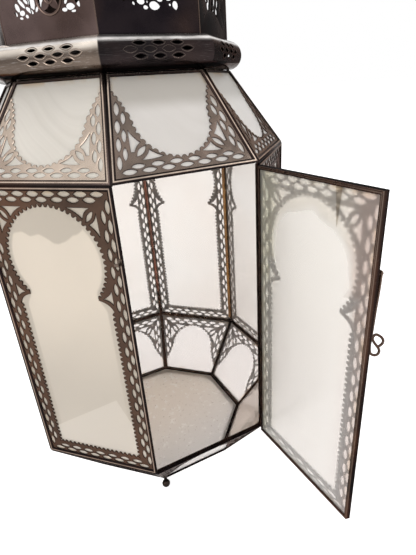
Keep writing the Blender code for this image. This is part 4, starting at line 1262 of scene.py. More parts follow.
@dataclass
class Pane:
    """Frosted glass pane with its edges tucked into the channel."""

    margin: float = 3.1 * MM
    front: float = -2.2 * MM
    thickness: float = 1.6 * MM
    stain: float = 5.0 * MM

    def mesh(self, tier: Tier, matrix: Matrix, trim: float = 0.0, narrow_top: float = 1.0) -> bpy.types.Mesh:
        """Pane of one panel, with an edge value that falls away from its rim.

        Args:
            tier: the panel's tier.
            matrix: the panel's axes.
            trim: how much smaller than the panel its frame is.
            narrow_top: width of its frame's top bar, as a share of the others.

        Returns:
            The mesh.
        """
        edge = self.margin + trim
        inner = edge + self.stain
        back = self.front - self.thickness
        rings = [[(matrix @ Vector((x, y, z)), value, float(z < self.front))
                  for x, y in tier.inset(margin, margin, margin - edge * (1 - narrow_top))]
                 for margin, z, value in ((inner, self.front, 0.0), (edge, self.front, 1.0),
                                          (edge, back, 1.0), (inner, back, 0.0))]
        return Maker.loft(rings, names=("edge", "inside"))


@dataclass
class PanelTiers:
    """The glazed tiers: lower band, body and shoulder, with their seams."""

    plan: Plan
    finishes: Finishes
    channel: Channel = field(default_factory=Channel)
    pane: Pane = field(default_factory=Pane)
    tall: TallPattern = field(default_factory=TallPattern)
    sloping: SlopingPattern = field(default_factory=SlopingPattern)
    sheet_level: float = -1.2 * MM
    sheet_thickness: float = 0.7 * MM
    sheet_rim: float = 0.55 * MM
    sheet_lift: float = 0.22 * MM
    bend: float = 0.31
    narrow_top: float = 0.45
    solder_inset: float = 2.6 * MM
    solder_radius: float = 1.35 * MM
    solder_beside_door: float = 0.45 * MM
    resin_inset: float = 7.0 * MM
    resin_radius: float = 2.0 * MM

    def filigree(self, loops: Sequence[Loop], matrix: Matrix) -> bpy.types.Mesh:
        """Pierced sheet on one panel."""
        return Maker.sheet(loops, self.sheet_thickness, self.sheet_rim, self.sheet_lift,
                           matrix @ Matrix.Translation((0, 0, self.sheet_level)))

    def body_panels(self) -> None:
        """Seven fixed tall panels and their channels."""
        tier = self.plan.body
        mitre = (math.tan(HALF_STEP), self.bend, self.bend)
        channels = []
        for k in range(1, SIDES):
            matrix = tier.frame(k)
            channels.append(self.channel.mesh(tier, matrix, mitre))
            glass = self.finishes.left_pane if k == SIDES - 1 else self.finishes.pane
            Maker.piece(f"pane_body_{k}", self.pane.mesh(tier, matrix), glass, Slot.GLASS, f"body_glass_{k}")
            loops = self.tall.loops(tier.half_width(0), tier.slant)
            Maker.piece(f"filigree_body_{k}", self.filigree(loops, matrix), self.finishes.filigree,
                        Slot.PIERCED, f"body_filigree_{k}")
        Maker.piece("channels_body", Maker.joined(channels), self.finishes.channel, Slot.ANTIQUE)

    def sloping_panels(self) -> None:
        """Shoulder and lower band: channels, panes and filigree."""
        finishes = self.finishes
        # Lighter copy of the glass for the left shoulder pane (painted light), and the shaded copy for lower
        # pane 1.
        odd_panes = {("shoulder", SIDES - 1): finishes.shoulder_lit_pane, ("lower", 1): finishes.shaded_pane}
        jobs = (("shoulder", self.plan.shoulder, False, finishes.shoulder, finishes.shoulder_pane,
                 finishes.ridge, self.narrow_top),
                ("lower", self.plan.lower, True, finishes.filigree, finishes.lower_lit_pane,
                 finishes.channel, 1.0))
        for name, tier, wide_end_up, metal, glass, bars, narrow in jobs:
            mitre = (math.tan(HALF_STEP), *((0.0, self.bend) if wide_end_up else (self.bend, 0.0)))
            channels, sheets = [], []
            for k in range(SIDES):
                matrix = tier.frame(k)
                channels.append(self.channel.mesh(tier, matrix, mitre, 0.0, narrow))
                Maker.piece(f"pane_{name}_{k}", self.pane.mesh(tier, matrix, narrow_top=narrow),
                            odd_panes.get((name, k), glass), Slot.GLASS, f"{name}_glass_{k}")
                sheet = self.filigree(self.sloping.loops(tier, wide_end_up), matrix)
                if wide_end_up:
                    sheets.append(sheet)
                else:
                    Maker.piece(f"filigree_{name}_{k}", sheet, metal, Slot.PIERCED, f"{name}_filigree_{k}")
            if sheets:
                Maker.piece(f"filigree_{name}", Maker.joined(sheets), metal, Slot.PIERCED)
            Maker.piece(f"channels_{name}", Maker.joined(channels), bars, Slot.ANTIQUE, f"{name}_frame")

    def seams(self) -> None:
        """Solder that fills the grooves between neighbouring channels."""
        plan = self.plan
        inset, full, slim = self.solder_inset, self.solder_radius, self.solder_beside_door
        seams = []
        for tier in (plan.lower, plan.body, plan.shoulder):
            for k in range(SIDES):
                radius = slim if tier is plan.body and k < 2 else full
                ends = (corner(k, tier.low_radius - inset, tier.low_z),
                        corner(k, tier.high_radius - inset, tier.high_z))
                seams.append(Maker.tube([ends[0].lerp(ends[1], i / 6) for i in range(7)], radius, 8))
        for z in (plan.body.low_z, plan.body.high_z):
            ring = [corner(k, plan.body.low_radius - inset, z) for k in range(SIDES)]
            seams.append(Maker.tube([*ring[1:], ring[0]], full, 8))
            seams.append(Maker.tube(ring[:2], slim, 8))
        Maker.piece("solder_seams", Maker.joined(seams), self.finishes.channel, Slot.ANTIQUE, "body_frame")

    def resin_beads(self) -> None:
        """Beads of amber flux resin down the inside of the body's corners."""
        tier = self.plan.body
        for first, name, finish, foot in ((2, "red", self.finishes.red_resin, 0.16),
                                          (3, "amber", self.finishes.resin, 0.04)):
            beads = []
            for k in range(first, SIDES, 2):
                low, high = (corner(k, tier.low_radius - self.resin_inset, tier.low_z + tier.slant * share)
                             for share in (foot, 0.985))
                path = [low.lerp(high, i / 20) for i in range(21)]
                beads.append(Maker.tube(path, self.resin_radius, 10, wear_and_highlight=0.3))
            Maker.piece(f"resin_{name}", Maker.joined(beads), finish, Slot.ANTIQUE)

    def build(self) -> None:
        """Build every glazed tier."""
        self.resin_beads()
        self.body_panels()
        self.sloping_panels()
        self.seams()


@dataclass
class Door:
    """The hinged tall panel with its frame, pane, filigree, hinges and latch."""

    plan: Plan
    finishes: Finishes
    tiers: PanelTiers
    gap: float = 0.9 * MM
    ease: float = 0.19
    knuckle_radius: float = 2.0 * MM
    knuckle_length: float = 11.0 * MM
    hinge_inset: float = 46.0 * MM
    leaf_width: float = 7.0 * MM
    leaf_thickness: float = 0.8 * MM
    pin_radius: float = 1.0 * MM
    wire_radius: float = 0.95 * MM
    head_width: float = 4.0 * MM
    forged: float = 27.0
    hook_points: tuple[Point, ...] = (
        (2.5, -2.4), (2.6, 0.0), (2.8, 8.0), (2.6, 20.0), (2.0, 34.0), (1.3, 46.0), (0.9, 55.0),
        (2.0, 60.6), (4.7, 63.6), (7.8, 65.2), (10.6, 65.4), (11.7, 63.4), (10.5, 60.4), (8.2, 57.4),
        (5.1, 53.5), (3.1, 50.2), (3.4, 47.9), (5.9, 47.3), (9.1, 49.2), (12.5, 52.2), (14.6, 55.4),
        (14.0, 57.8), (11.9, 58.5), (9.9, 58.8))

    def panel(self) -> None:
        """Frame, glass and filigree of the door, swung open."""
        tier = self.plan.body
        matrix = self.plan.door_matrix @ tier.frame(0)
        bend = self.tiers.bend - self.ease
        mitre = (math.tan(HALF_STEP) - self.ease, bend, bend)
        frame = self.tiers.channel.mesh(tier, matrix, mitre, self.gap)
        leaves = self.leaf(matrix, 1, self.knuckle_length)
        Maker.piece("door_channel", Maker.joined([frame, leaves]), self.finishes.channel, Slot.ANTIQUE,
                    "door_frame", body=Body.DOOR)
        Maker.piece("pane_door", self.tiers.pane.mesh(tier, matrix, self.gap), self.finishes.door_pane,
                    Slot.GLASS, "door_glass", body=Body.DOOR)
        loops = self.tiers.tall.loops(tier.half_width(0), tier.slant, self.gap)
        Maker.piece("filigree_door", self.tiers.filigree(loops, matrix), self.finishes.filigree,
                    Slot.PIERCED, "door_filigree", body=Body.DOOR)

    def hinge_heights(self) -> tuple[float, float]:
        """Heights of the hinges' lower ends."""
        body = self.plan.body
        return body.low_z + self.hinge_inset, body.high_z - self.hinge_inset - 2 * self.knuckle_length

    def hinge_axis(self) -> Matrix:
        """Axes of the hinges, at height 0."""
        return Matrix.Translation((self.plan.hinge.x, self.plan.hinge.y, 0))

    def leaf(self, matrix: Matrix, side: int, lift: float) -> bpy.types.Mesh:
        """Knuckles and leaves of one half of both hinges.

        Args:
            matrix: axes of the panel that carries the leaves.
            side: 1 where the hinge is at the panel's right edge, -1 at its left.
            lift: how far its knuckle stands above the hinge's lower end.

        Returns:
            The mesh.
        """
        body = self.plan.body
        edge = side * body.half_width(0)
        parts = []
        for height in self.hinge_heights():
            low, high = height + lift + 0.15 * MM, height + lift + self.knuckle_length - 0.15 * MM
            r, rim = self.knuckle_radius, 0.3 * MM
            parts.append(Maker.turned([(r - rim, low, 0.6), (r, low + rim, 0.8), (r, high - rim, 0.8),
                                       (r - rim, high, 0.6)], self.hinge_axis(), 24))
            foot, top, chamfer = low - body.low_z, high - body.low_z, 0.6 * MM
            free = edge - side * self.leaf_width
            outline = [(edge, foot), (free, foot + chamfer), (free, top - chamfer), (edge, top)]
            outline = outline if side < 0 else outline[::-1]
            plate = Matrix.Translation((0, 0, self.leaf_thickness))
            parts.append(Maker.sheet([outline], self.leaf_thickness, 0.4 * MM, 0.2 * MM, matrix @ plate))
        return Maker.joined(parts)

    def hinges(self) -> None:
        """Fixed halves of the hinges, and their pins."""
        post = self.leaf(self.plan.body.frame(1), -1, 0.0)
        Maker.piece("hinge_leaves_post", post, self.finishes.channel, Slot.ANTIQUE)
        for name, height in zip(("lower", "upper"), self.hinge_heights()):
            top = height + 2 * self.knuckle_length
            r = self.pin_radius
            profile = [(r * 0.8, height, 0.2), (r, height + 0.3 * MM, 0.3), (r, top, 0.3),
                       (r * 1.7, top + 0.05 * MM, 0.6), (r * 1.75, top + 0.5 * MM, 1.0),
                       (r * 1.2, top + 1.1 * MM, 1.0), (r * 0.4, top + 1.3 * MM, 1.0)]
            Maker.piece(f"pin_{name}", Maker.turned(profile, self.hinge_axis(), 20), self.finishes.wire,
                        Slot.WIRE, f"hinge_pin_{name}")

    def latch(self) -> None:
        """Rivet and hook of the latch."""
        panel = self.plan.door_matrix @ self.plan.body.frame(0)
        along, up, out = panel.to_3x3().col
        seat = self.plan.latch
        rivet = [(1.5 * MM, 0.1 * MM, 0.1), (1.5 * MM, 0.35 * MM, 0.1), (1.0 * MM, 0.4 * MM, 0.1),
                 (1.0 * MM, 3.3 * MM, 0.2), (1.75 * MM, 3.4 * MM, 0.6), (1.65 * MM, 3.8 * MM, 0.9),
                 (1.0 * MM, 4.3 * MM, 1.0), (0.25 * MM, 4.45 * MM, 1.0)]
        Maker.piece("rivet_latch", Maker.turned(rivet, axes_at(seat, along, up), 24), self.finishes.wire,
                    Slot.WIRE, "latch_rivet", body=Body.DOOR)
        Maker.piece("hook_latch", self.hook_mesh(seat, out, -UP, along), self.finishes.wire, Slot.WIRE,
                    "latch_hook", body=Body.LATCH)

    def hook_mesh(self, seat: Vector, out: Vector, down: Vector, along: Vector) -> bpy.types.Mesh:
        """Hook, forged flat round its rivet and drawn down to a curled wire.

        Args:
            seat: where the rivet leaves the door.
            out: away from the door's face.
            down: along the shank.
            along: across the door.

        Returns:
            The mesh.
        """
        path = smooth_path(self.hook_points, 5)
        last = len(path) - 1
        rings = []
        for i, ((o, d), (step_out, step_down)) in enumerate(strides(path)):
            way = (out * step_out + down * step_down).normalized()
            third = way.cross(along)
            flat = 0.0 if d > self.forged else 1 - max(0.0, d) / self.forged
            end = {last - 1: 0.75, last: 0.4}.get(i, 0.25 + 0.75 * math.sqrt(min(1.0, i / 3)))
            wide = (self.wire_radius + (self.head_width / 2 - self.wire_radius) * flat) * end
            thick = (self.wire_radius - 0.2 * MM * flat) * end
            middle = seat + (out * o + down * d) * MM
            rings.append([(middle + along * c * wide + third * s * thick, 0.35 + 0.4 * flat * c ** 2)
                          for c, s in circle(14)])
        return Maker.loft(rings)

    def catch(self) -> None:
        """Cleat on the post, a bent strip soldered to the channel that the hook's shank drops into."""
        low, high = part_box("latch_catch")
        matrix = self.plan.body.frame(SIDES - 1)
        ends = [matrix.inverted() @ Vector((x, y, low.z)) for x in (low.x, high.x) for y in (low.y, high.y)]
        x = (min(p.x for p in ends) + max(p.x for p in ends)) / 2
        y = (low.z + high.z) / 2 - self.plan.body.low_z
        half_width, half_thickness, out = 1.9 * MM, 0.35, max(p.z for p in ends)
        line = ((0.1, 2.6), (0.5, 2.2), (0.9, 0.2), (1.0, -1.2), (2.6, -1.6), (4.6, -1.6), (5.4, -0.9),
                (5.5, 1.2))
        rings = []
        for (o, v), stride in strides(smooth_path(line, 4)):
            way = Vector(stride).normalized() * half_thickness
            rings.append([(matrix @ Vector((x + across * half_width, y + (v + way.x * face) * MM,
                                            min(out, (o - way.y * face) * MM))), 0.3)
                          for across, face in ((-1, -1), (1, -1), (1, 1), (-1, 1))])
        Maker.piece("catch_latch", Maker.loft(rings), self.finishes.channel, Slot.WIRE, "latch_catch")

    def build(self) -> None:
        """Build the door with what moves on it."""
        self.panel()
        self.catch()
        self.hinges()
        self.latch()


# Openings of the gallery's panels: x, y, length, breadth, angle and point of each, in millimetres.
LEAVES = ((-11.5, 19.7, 2.9, 2.5, 0, 0.0), (-6.3, 21.4, 7.2, 5.4, -20, 0.2), (-2.6, 17.1, 4.2, 2.9, 0, 0.4),
          (4.6, 18.2, 9.2, 6.2, -6, 0.5), (9.1, 22.2, 5.2, 3.0, 0, 0.0), (16.2, 22.6, 4.4, 2.2, 0, 0.0),
          (17.2, 19.0, 2.0, 1.8, 0, 0.0), (21.6, 18.6, 6.4, 5.0, -78, 0.6), (-0.6, 21.2, 3.2, 1.5, 52, 0.0),
          (-18.6, 22.4, 4.2, 2.6, 40, 0.2), (-26.0, 24.4, 3.2, 4.6, 20, 0.0), (2.4, 24.8, 5.0, 2.2, 30, 0.0),
          (14.0, 26.2, 5.2, 2.6, 60, 0.0), (22.6, 25.4, 5.4, 2.6, 80, 0.0))
FAN = ((-21.0, 27.0, 9.0, 4.0, 102, 0.3), (-13.4, 26.6, 9.2, 3.8, 84, 0.3), (-5.4, 26.8, 9.0, 3.8, 74, 0.3),
       (3.0, 27.0, 8.8, 4.0, 70, 0.3), (12.0, 26.6, 8.4, 4.0, 62, 0.3), (-16.2, 21.6, 6.8, 6.0, 84, 0.4),
       (-7.0, 20.2, 3.8, 3.2, 0, 0.0), (-0.2, 20.2, 3.6, 2.6, 20, 0.0), (8.6, 20.0, 7.0, 5.6, 80, 0.4),
       (22.5, 24.0, 4.0, 2.4, 60, 0.0))
PETALS = ((-23.7, 22.8, 5.8, 3.4, -61, 0.2), (-19.5, 25.0, 7.4, 2.5, -47, 0.0),
          (-15.6, 26.2, 4.6, 2.2, -45, 0.0), (-10.4, 25.0, 9.4, 5.4, -75, 0.6),
          (-6.7, 20.4, 4.2, 2.2, 50, 0.3), (-13.3, 20.2, 7.2, 2.7, -35, 0.0), (-20.2, 19.1, 4.7, 3.3, 0, 0.0),
          (-25.8, 18.9, 3.2, 1.9, -54, 0.0), (-21.8, 15.9, 3.2, 1.5, -11, 0.0),
          (-16.5, 16.7, 3.0, 2.2, -26, 0.0), (17.0, 17.7, 4.4, 2.3, -6, 0.0), (22.2, 19.2, 7.0, 4.0, -4, 0.4),
          (24.5, 16.2, 4.1, 1.4, 0, 0.0), (28.4, 21.4, 6.4, 2.8, -66, 0.2), (24.0, 24.6, 5.4, 2.8, 15, 0.0),
          (19.0, 23.2, 4.4, 2.4, 60, 0.0))
CUTS = {1: FAN, SIDES - 1: PETALS}
# Corners and bows of the openings in the medallion.
MEDALLION = ((((-5.4, -7.4), (5.4, -7.4), (0.0, -3.6)), (-0.2, 0.12, 0.12)),
             (((5.4, 7.4), (-5.4, 7.4), (0.0, 3.6)), (-0.2, 0.12, 0.12)),
             (((7.4, -5.4), (7.4, 5.4), (3.6, 0.0)), (-0.2, 0.12, 0.12)),
             (((-7.4, 5.4), (-7.4, -5.4), (-3.6, 0.0)), (-0.2, 0.12, 0.12)),
             (((0.0, -2.4), (2.4, 0.0), (0.0, 2.4), (-2.4, 0.0)), (0.1,) * 4))
FAR_SIDES = range(2, 6)
# Left and right edge of each pointed window in a panel's arcade.
ARCADES = {2: ((-40.5, -31.0), (-29.5, -14.0), (-12.8, 2.6), (4.2, 20.0), (21.4, 37.0)),
           3: ((-38.5, -31.5), (-30.3, -15.6), (-14.4, 4.1), (5.3, 20.2), (21.4, 36.5)),
           4: ((-38.0, -23.5), (-22.3, -7.5), (-6.3, 7.5), (8.7, 23.4)),
           5: ((-40.6, -34.2), (-33.0, -17.6), (-16.6, 7.2), (8.6, 23.0), (24.4, 38.6)),
           SIDES - 1: ((-36.5, -22.5), (-21.0, -7.8), (-6.0, 15.6), (17.2, 36.0))}
NEAR_ARCADE = ((-36.5, -19.8), (-18.2, -1.4), (0.2, 17.0), (18.6, 35.4))


@dataclass
class Crown:
    """Everything above the shoulder: collar, gallery, dome, finial and hanging ring."""

    plan: Plan
    finishes: Finishes
    wall: float = 1.2 * MM
    bulge: float = 12.7 * MM
    eyelet_pitch: float = 15.4 * MM
    eyelet_length: float = 9.4 * MM
    eyelet_width: float = 2.9 * MM
    eyelet_shift: float = 5.0 * MM
    eyelet_rim: Point = (2.0 * MM, 1.8 * MM)
    eyelet_wire: float = 0.35 * MM
    crest_turn: float = 47.0
    crest_spread: float = 7.0
    shade_turn: float = -38.0
    gallery_thickness: float = 0.7 * MM
    gallery_sink: float = 0.3 * MM
    corner_wire: float = 0.6 * MM
    ring_tilt: float = math.radians(130)
    ring_radius: float = 21 * MM
    ring_wire: float = 2.0 * MM
    row_turns: Row = (28.0, 7.5, -13.5)
    medallion: Point = (4.8 * MM, 26.2 * MM)
    crown_line: float = 26.2 * MM

    @staticmethod
    def roll(radius: float, bulge: float, low: float, high: float, steps: int) -> list[Row]:
        """Radius, height and angle in degrees along a half-round roll between two heights."""
        middle, half = (low + high) / 2, (high - low) / 2
        turns = [math.pi * (i / steps - 0.5) for i in range(steps + 1)]
        return [(radius + bulge * math.cos(a), middle + half * math.sin(a), math.degrees(a)) for a in turns]

    @staticmethod
    def octagon_shell(profile: Sequence[Row]) -> bpy.types.Mesh:
        """Eight flat-sided courses round a closed profile of radius, height and painted value for wear,
        highlight and shade.
        """
        return Maker.loft([[(corner(k, radius, z), wear_highlight_shade) for k in range(SIDES)]
                           for radius, z, wear_highlight_shade in profile], True)

    def roll_frame(self, index: int, turn: float, radius: float, middle: float, half: float) -> Matrix:
        """Axes on the roll's face: X along the side, Y up the curve, Z out of the metal."""
        a, apothem = math.radians(turn), math.cos(HALF_STEP)
        radial, across = side_ways(index)
        place = radial * (radius + self.bulge * math.cos(a)) * apothem + UP * (middle + half * math.sin(a))
        up = (radial * (-self.bulge * apothem * math.sin(a)) + UP * (half * math.cos(a))).normalized()
        return axes_at(place, across, up)

    def collar(self) -> None:
        """Half-round collar with three staggered rows of embossed eyelets on each side.

        On the front three eyelets of the middle row are embossed but not punched through.
        """
        low, high = self.plan.collar_low + 0.3 * MM, self.plan.gallery.low_z - 0.3 * MM
        radius = (self.plan.shoulder.high_radius + self.plan.gallery.low_radius) / 2
        foot = radius - 6 * MM
        # Outside of the roll: painted highlight along the crest, painted shade beneath.
        outer = [(r, z, self.crest_light_and_shade(turn)) for r, z, turn in self.roll(radius, self.bulge, low, high, 32)]
        # Inside of the roll: painted shade, near black.
        inner = [(r, z, -1.0) for r, z, _ in self.roll(radius, self.bulge - self.wall, low + self.wall,
                                                       high - self.wall, 22)]
        shell = self.octagon_shell([(foot, low, -1.0), *outer, (foot, high, 0.0),
                                    (foot, high - self.wall, -1.0), *reversed(inner),
                                    (foot, low + self.wall, -1.0)])
        middle, half = (low + high) / 2, (high - low) / 2
        rims: list[bpy.types.Mesh] = []
        tools = bmesh.new()
        for k in range(SIDES):
            for turn, count in zip(self.row_turns, (3, 4, 3)):
                matrix = self.roll_frame(k, turn, radius, middle, half)
                for i in range(count):
                    x = (i - (count - 1) / 2) * self.eyelet_pitch + self.eyelet_shift * (k == SIDES - 1)
                    blind = k == 0 and count == 4 and i < 3
                    if not blind:
                        hole = Shapes.lens(x, 0, self.eyelet_length, self.eyelet_width, 0, 6)
                        self.prism(tools, hole, -4 * MM, 3 * MM, matrix)
                    rim = Shapes.lens(x, 0, self.eyelet_length + self.eyelet_rim[0],
                                      self.eyelet_width + self.eyelet_rim[1], 0, 8)
                    rims.append(Maker.tube([self.on_roll(matrix, u, v) for u, v in rim], self.eyelet_wire, 6,
                                           True, 0.25))
        pierced = Maker.cut(shell, Maker.from_bmesh(tools))
        bottom, top = low - 2 * MM, high + 2 * MM
        front, back = foot - 0.1 * MM, foot - 0.6 * MM
        # Liner behind the roll's foot, closing the gaps, painted near black: painted shade.
        liner = self.octagon_shell([(back, bottom, -1.0), (front, bottom, -1.0), (front, top, -1.0),
                                    (back, top, -1.0)])
        Maker.piece("collar_roll", Maker.joined([pierced, liner]), self.finishes.collar, Slot.WORN, "collar")
        Maker.piece("eyelet_rims", Maker.joined(rims), self.finishes.eyelet, Slot.WORN)

    def on_roll(self, matrix: Matrix, u: float, v: float) -> Vector:
        """Point of the roll's face a little way from the middle of an eyelet's axes."""
        return matrix @ Vector((u, v, -v * v / (2 * self.bulge)))

    def crest_light_and_shade(self, turn: float) -> float:
        """Painted value at an angle up the roll's curve: a painted highlight along the crest, a little lighter
        above it, and painted shade beneath.
        """
        crest = math.exp(-((turn - self.crest_turn) / self.crest_spread) ** 2)
        above = 0.28 * min(1.0, max(0.0, (turn - self.crest_turn + 5) / 8))
        return min(1.0, crest + above) - min(1.0, max(0.0, (self.shade_turn - turn) / 14))

    @staticmethod
    def prism(bm: bmesh.types.BMesh, outline: Loop, low: float, high: float, matrix: Matrix) -> None:
        """Extrude an outline between two heights of a matrix."""
        rings = [[bm.verts.new(matrix @ Vector((x, y, z))) for x, y in outline] for z in (low, high)]
        bm.faces.new(rings[0])
        bm.faces.new(rings[1])
        Maker.bridge(bm, rings, False)

    def cartouche(self, height: float, index: int) -> list[Loop]:
        """Arabesque openings of one gallery panel, the same above and below its middle.

        Args:
            height: of the panel.
            index: of the panel; the front left one has a medallion.

        Returns:
            The openings' outlines.
        """
        medallion = index == SIDES - 1
        swell = 1.1 if medallion else 0.94
        half = [Shapes.blob(x * MM, y * MM, length * swell * MM, breadth * swell * MM, math.radians(angle),
                            point) for x, y, length, breadth, angle, point in CUTS.get(index, LEAVES)]
        if medallion:
            x, y = self.medallion
            half += [Shapes.bowed([(x + u * MM, y + v * MM) for u, v in corners], bows)
                     for corners, bows in MEDALLION]
        if index in FAR_SIDES:
            half = [loop for loop in half if max(v for _, v in loop) < 23.4 * MM]
        return half + self.arcade(index) + [[(u, height - v) for u, v in loop] for loop in half
                                            if max(v for _, v in loop) < self.crown_line]

    def arcade(self, index: int) -> list[Loop]:
        """Row of pointed windows across the middle of one gallery panel."""
        loops = []
        for left, right in ARCADES.get(index, NEAR_ARCADE):
            foot = 24.4 if index in FAR_SIDES else 32.8
            if index == SIDES - 1 and left > -7:
                foot = 39.4
            top = 56.8
            spring = top - min(5.0, (right - left) * 0.4)
            corners = ((left, foot), (right, foot), (right, spring), ((left + right) / 2, top),
                       (left, spring))
            loops.append(Shapes.bowed([(x * MM, y * MM) for x, y in corners],
                                      (0.02, 0.0, -0.12, -0.12, 0.0)))
        return loops

    def gallery(self) -> None:
        """Upright band of eight pierced panels with rings round their medallions."""
        tier = self.plan.gallery
        half, height = tier.half_width(0) - 0.05 * MM, tier.slant
        outline = [(-half, 0.0), (half, 0.0), (half, height), (-half, height)]
        x, y = self.medallion
        sheets = []
        for k in range(SIDES):
            matrix = tier.frame(k) @ Matrix.Translation((0, 0, -self.gallery_sink))
            sheets.append(Maker.sheet([outline, *self.cartouche(height, k)], self.gallery_thickness, 0.12 * MM,
                                      0.08 * MM, matrix, 0.0))
            rings = ((10.6 * MM, 0.75 * MM), (3.3 * MM, 0.5 * MM)) if k == SIDES - 1 else ()
            for radius, thick in rings:
                ring = [matrix @ Vector((x + radius * c, y + radius * s, 0)) for c, s in circle(36)]
                sheets.append(Maker.tube(ring, thick, 8, True, 0.7))
            bead = [corner(k, tier.low_radius - 0.5 * MM, z) for z in (tier.low_z, tier.high_z)]
            sheets.append(Maker.tube(bead, self.corner_wire, 8, wear_and_highlight=0.5))
        Maker.piece("gallery_sheet", Maker.joined(sheets), self.finishes.gallery, Slot.ANTIQUE, "gallery")

    def build(self) -> None:
        """Build the crown from the collar up."""
        self.collar()
        self.gallery()
        self.dress_solids()
        self.ring()

    def dress_solids(self) -> None:
        """Give the dome and the finial, which keep their CAD shapes, their finishes."""
        for name, finish in (("dome", self.finishes.gallery), ("finial", self.finishes.collar)):
            repaint(name, finish)

    def ring(self) -> None:
        """Hanging ring through the finial's eye, lying over to the front."""
        centre_way = Vector((0, -math.sin(self.ring_tilt), math.cos(self.ring_tilt)))
        centre = self.plan.eye + centre_way * self.ring_radius
        path = [centre + (Vector((1, 0, 0)) * s - centre_way * c) * self.ring_radius for c, s in circle(64)]
        Maker.piece("ring_hanging", Maker.tube(path, self.ring_wire, 16, True, 0.6), self.finishes.collar,
                    Slot.WORN, "hanging_ring", body=Body.RING)


def smooth_path(points: Sequence[Point], steps: int) -> Loop:
    """Smooth line through points, with a number of steps between each two."""
    padded = [points[0], *points, points[-1]]
    line = []
    for a, b, c, d in zip(padded, padded[1:], padded[2:], padded[3:]):
        for i in range(steps):
            t = i / steps
            line.append(tuple(0.5 * (2 * q + (r - p) * t + (2 * p - 5 * q + 4 * r - e) * t * t
                                     + (3 * q - p - 3 * r + e) * t ** 3)
                              for p, q, r, e in zip(a, b, c, d)))
    return [*line, points[-1]]


def strides(line: Loop) -> Iterable[tuple[Point, Point]]:
    """Each point of an open line with the way from the point before it to the one after it."""
    for before, here, after in zip([line[0], *line], line, [*line[1:], line[-1]]):
        yield here, (after[0] - before[0], after[1] - before[1])


def repaint(name: str, material: bpy.types.Material) -> None:
    """Give a CAD node that keeps its shape a finish."""
    materials = bpy.data.objects[name].data.materials
    materials.clear()
    materials.append(material)


@dataclass
class Base:
    """Floor pane and ball feet."""

    plan: Plan
    finishes: Finishes
    ball_radius: float = 4.7 * MM
    neck_radius: float = 1.9 * MM

    def ledge(self) -> None:
        """Ledge under the rim of the floor pane."""
        plate_low, plate_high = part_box("base_plate")
        plate = plate_high.x / math.cos(HALF_STEP)
        inner, rim, outer = plate - 4 * MM, plate + 0.6 * MM, self.plan.lower.low_radius - 3.4 * MM
        top, bottom = plate_low.z - 0.3 * MM, plate_low.z - 1.6 * MM
        # Painted shade on the top beside the plate and under the plate's rim.
        shell = Crown.octagon_shell([(inner, bottom, 0.2), (outer, bottom, 0.0), (outer, plate_high.z, -0.6),
                                     (rim, plate_high.z, -0.6), (rim, top, -1.0), (inner, top, 0.0)])
        Maker.piece("base_ledge", shell, self.finishes.channel, Slot.ANTIQUE)

    def build(self) -> None:
        """Dress the base plate, lay its ledge and turn the four feet."""
        repaint("base_plate", self.finishes.base)
        self.ledge()
        r, neck = self.ball_radius, self.neck_radius
        for name in ("front_left", "right", "back_right", "left"):
            low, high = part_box(f"ball_foot_{name}")
            middle, centre = (low + high) / 2, low.z + r - 0.34 * MM
            turns = [math.radians(-67 + 140 * i / 12) for i in range(13)]
            ball = [(r * math.cos(a), centre + r * math.sin(a), 0.4) for a in turns]
            profile = [(1.2 * MM, low.z, 0.2), *ball, (neck, centre + r + 0.6 * MM, 0.2),
                       (neck, high.z, 0.2)]
            axis = Matrix.Translation((middle.x, middle.y, 0))
            Maker.piece(f"foot_{name}", Maker.turned(profile, axis, 28), self.finishes.foot, Slot.ANTIQUE,
                        f"ball_foot_{name}")


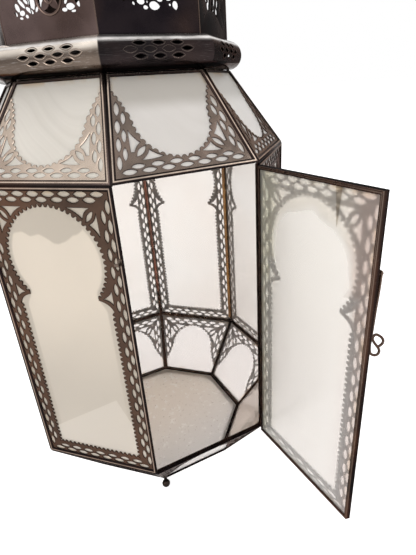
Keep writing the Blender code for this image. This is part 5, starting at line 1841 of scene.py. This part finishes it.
@dataclass
class Studio:
    """Floor, lamps, white surroundings and the camera of the photograph."""

    camera_place: Place = (-0.13385, -0.44334, 0.42155)
    yaw: float = math.radians(26.01)
    pitch: float = math.radians(-24.71)
    roll: float = math.radians(-3.94)
    focal_px: float = 412.27
    picture_width: int = 416
    sensor: float = 36.0
    floor_z: float = -14.4 * MM
    dimmed: float = 0.45
    lamp_aim: Place = (0, 0, 0.3)

    def camera(self) -> None:
        """Set the camera where the photograph was taken."""
        flat = math.cos(self.pitch)
        forward = Vector((math.sin(self.yaw) * flat, math.cos(self.yaw) * flat, math.sin(self.pitch)))
        level = Vector((math.cos(self.yaw), -math.sin(self.yaw), 0))
        upright = level.cross(forward)
        c, s = math.cos(self.roll), math.sin(self.roll)
        right, up = level * c + upright * s, upright * c - level * s
        data = bpy.data.cameras.new("photo_camera")
        data.sensor_fit = 'HORIZONTAL'
        data.sensor_width = self.sensor
        data.lens = self.focal_px / self.picture_width * self.sensor
        data.clip_start = 0.01
        item = Maker.link("photo_camera", data)
        item.matrix_world = Matrix.Translation(self.camera_place) @ Matrix(
            (right, up, -forward)).transposed().to_4x4()
        bpy.context.scene.camera = item

    def floor(self) -> None:
        """Pale floor that keeps the lantern's shadow and fades into the white surroundings."""
        bm = bmesh.new()
        bmesh.ops.create_grid(bm, x_segments=2, y_segments=2, size=40.0)
        mesh = Maker.from_bmesh(bm)
        mesh.transform(Matrix.Translation((0, 0, self.floor_z)))
        recipe = Recipe("studio_floor")
        recipe.dress(Base_Color=(0.9, 0.9, 0.9), Roughness=0.9, Emission_Color=(1.0, 1.0, 1.0),
                     Emission_Strength=0.72)
        mesh.materials.append(recipe.owner)
        Maker.link("floor", mesh)

    def surroundings(self) -> None:
        """World that is white to the eye, in gloss and through glass, and softer as a lamp."""
        recipe = Recipe("studio_world", world=True)
        bpy.context.scene.world = recipe.owner
        rays = recipe.add("ShaderNodeLightPath", {}, {}).outputs
        kinds = ("Camera", "Glossy", "Transmission")
        eye, gloss, glass = (Field(recipe, rays[f"Is {kind} Ray"]) for kind in kinds)
        level = recipe.add("ShaderNodeMapRange", {}, {"Value": eye.at_least(gloss).at_least(glass),
                                                      "To Min": self.dimmed, "To Max": 1.0})
        recipe.dress(Color=(1.0, 1.0, 1.0), Strength=Field(recipe, level.outputs[0]))

    def lamp(self, name: str, place: Place, size: float, power: float) -> None:
        """Soft square lamp that looks at the lantern."""
        data = bpy.data.lights.new(name, 'AREA')
        data.size = size
        data.energy = power
        item = Maker.link(name, data)
        item.location = place
        item.rotation_euler = (Vector(self.lamp_aim) - Vector(place)).to_track_quat('-Z', 'Y').to_euler()

    def build(self) -> None:
        """Set the studio up."""
        self.camera()
        self.floor()
        self.surroundings()
        self.lamp("key_lamp", (-1.5, -1.6, 1.9), 1.4, 26.0)
        self.lamp("fill_lamp", (1.9, -1.2, 1.3), 1.6, 12.0)
        self.lamp("back_lamp", (0.4, 2.0, 1.5), 1.6, 14.0)
        bpy.context.scene.view_settings.view_transform = 'Standard'


def main() -> None:
    """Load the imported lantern, build its looks and log its pieces."""
    logging.basicConfig(level=logging.INFO, format="%(name)s: %(message)s")
    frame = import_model()
    plan = Plan.from_frame(frame)
    finishes = Finishes(plan)
    tiers = PanelTiers(plan, finishes)
    tiers.build()
    Door(plan, finishes, tiers).build()
    Crown(plan, finishes).build()
    Base(plan, finishes).build()
    Studio().build()
    LOG.info("%d pieces", Maker.count)


if __name__ == "__main__":
    main()
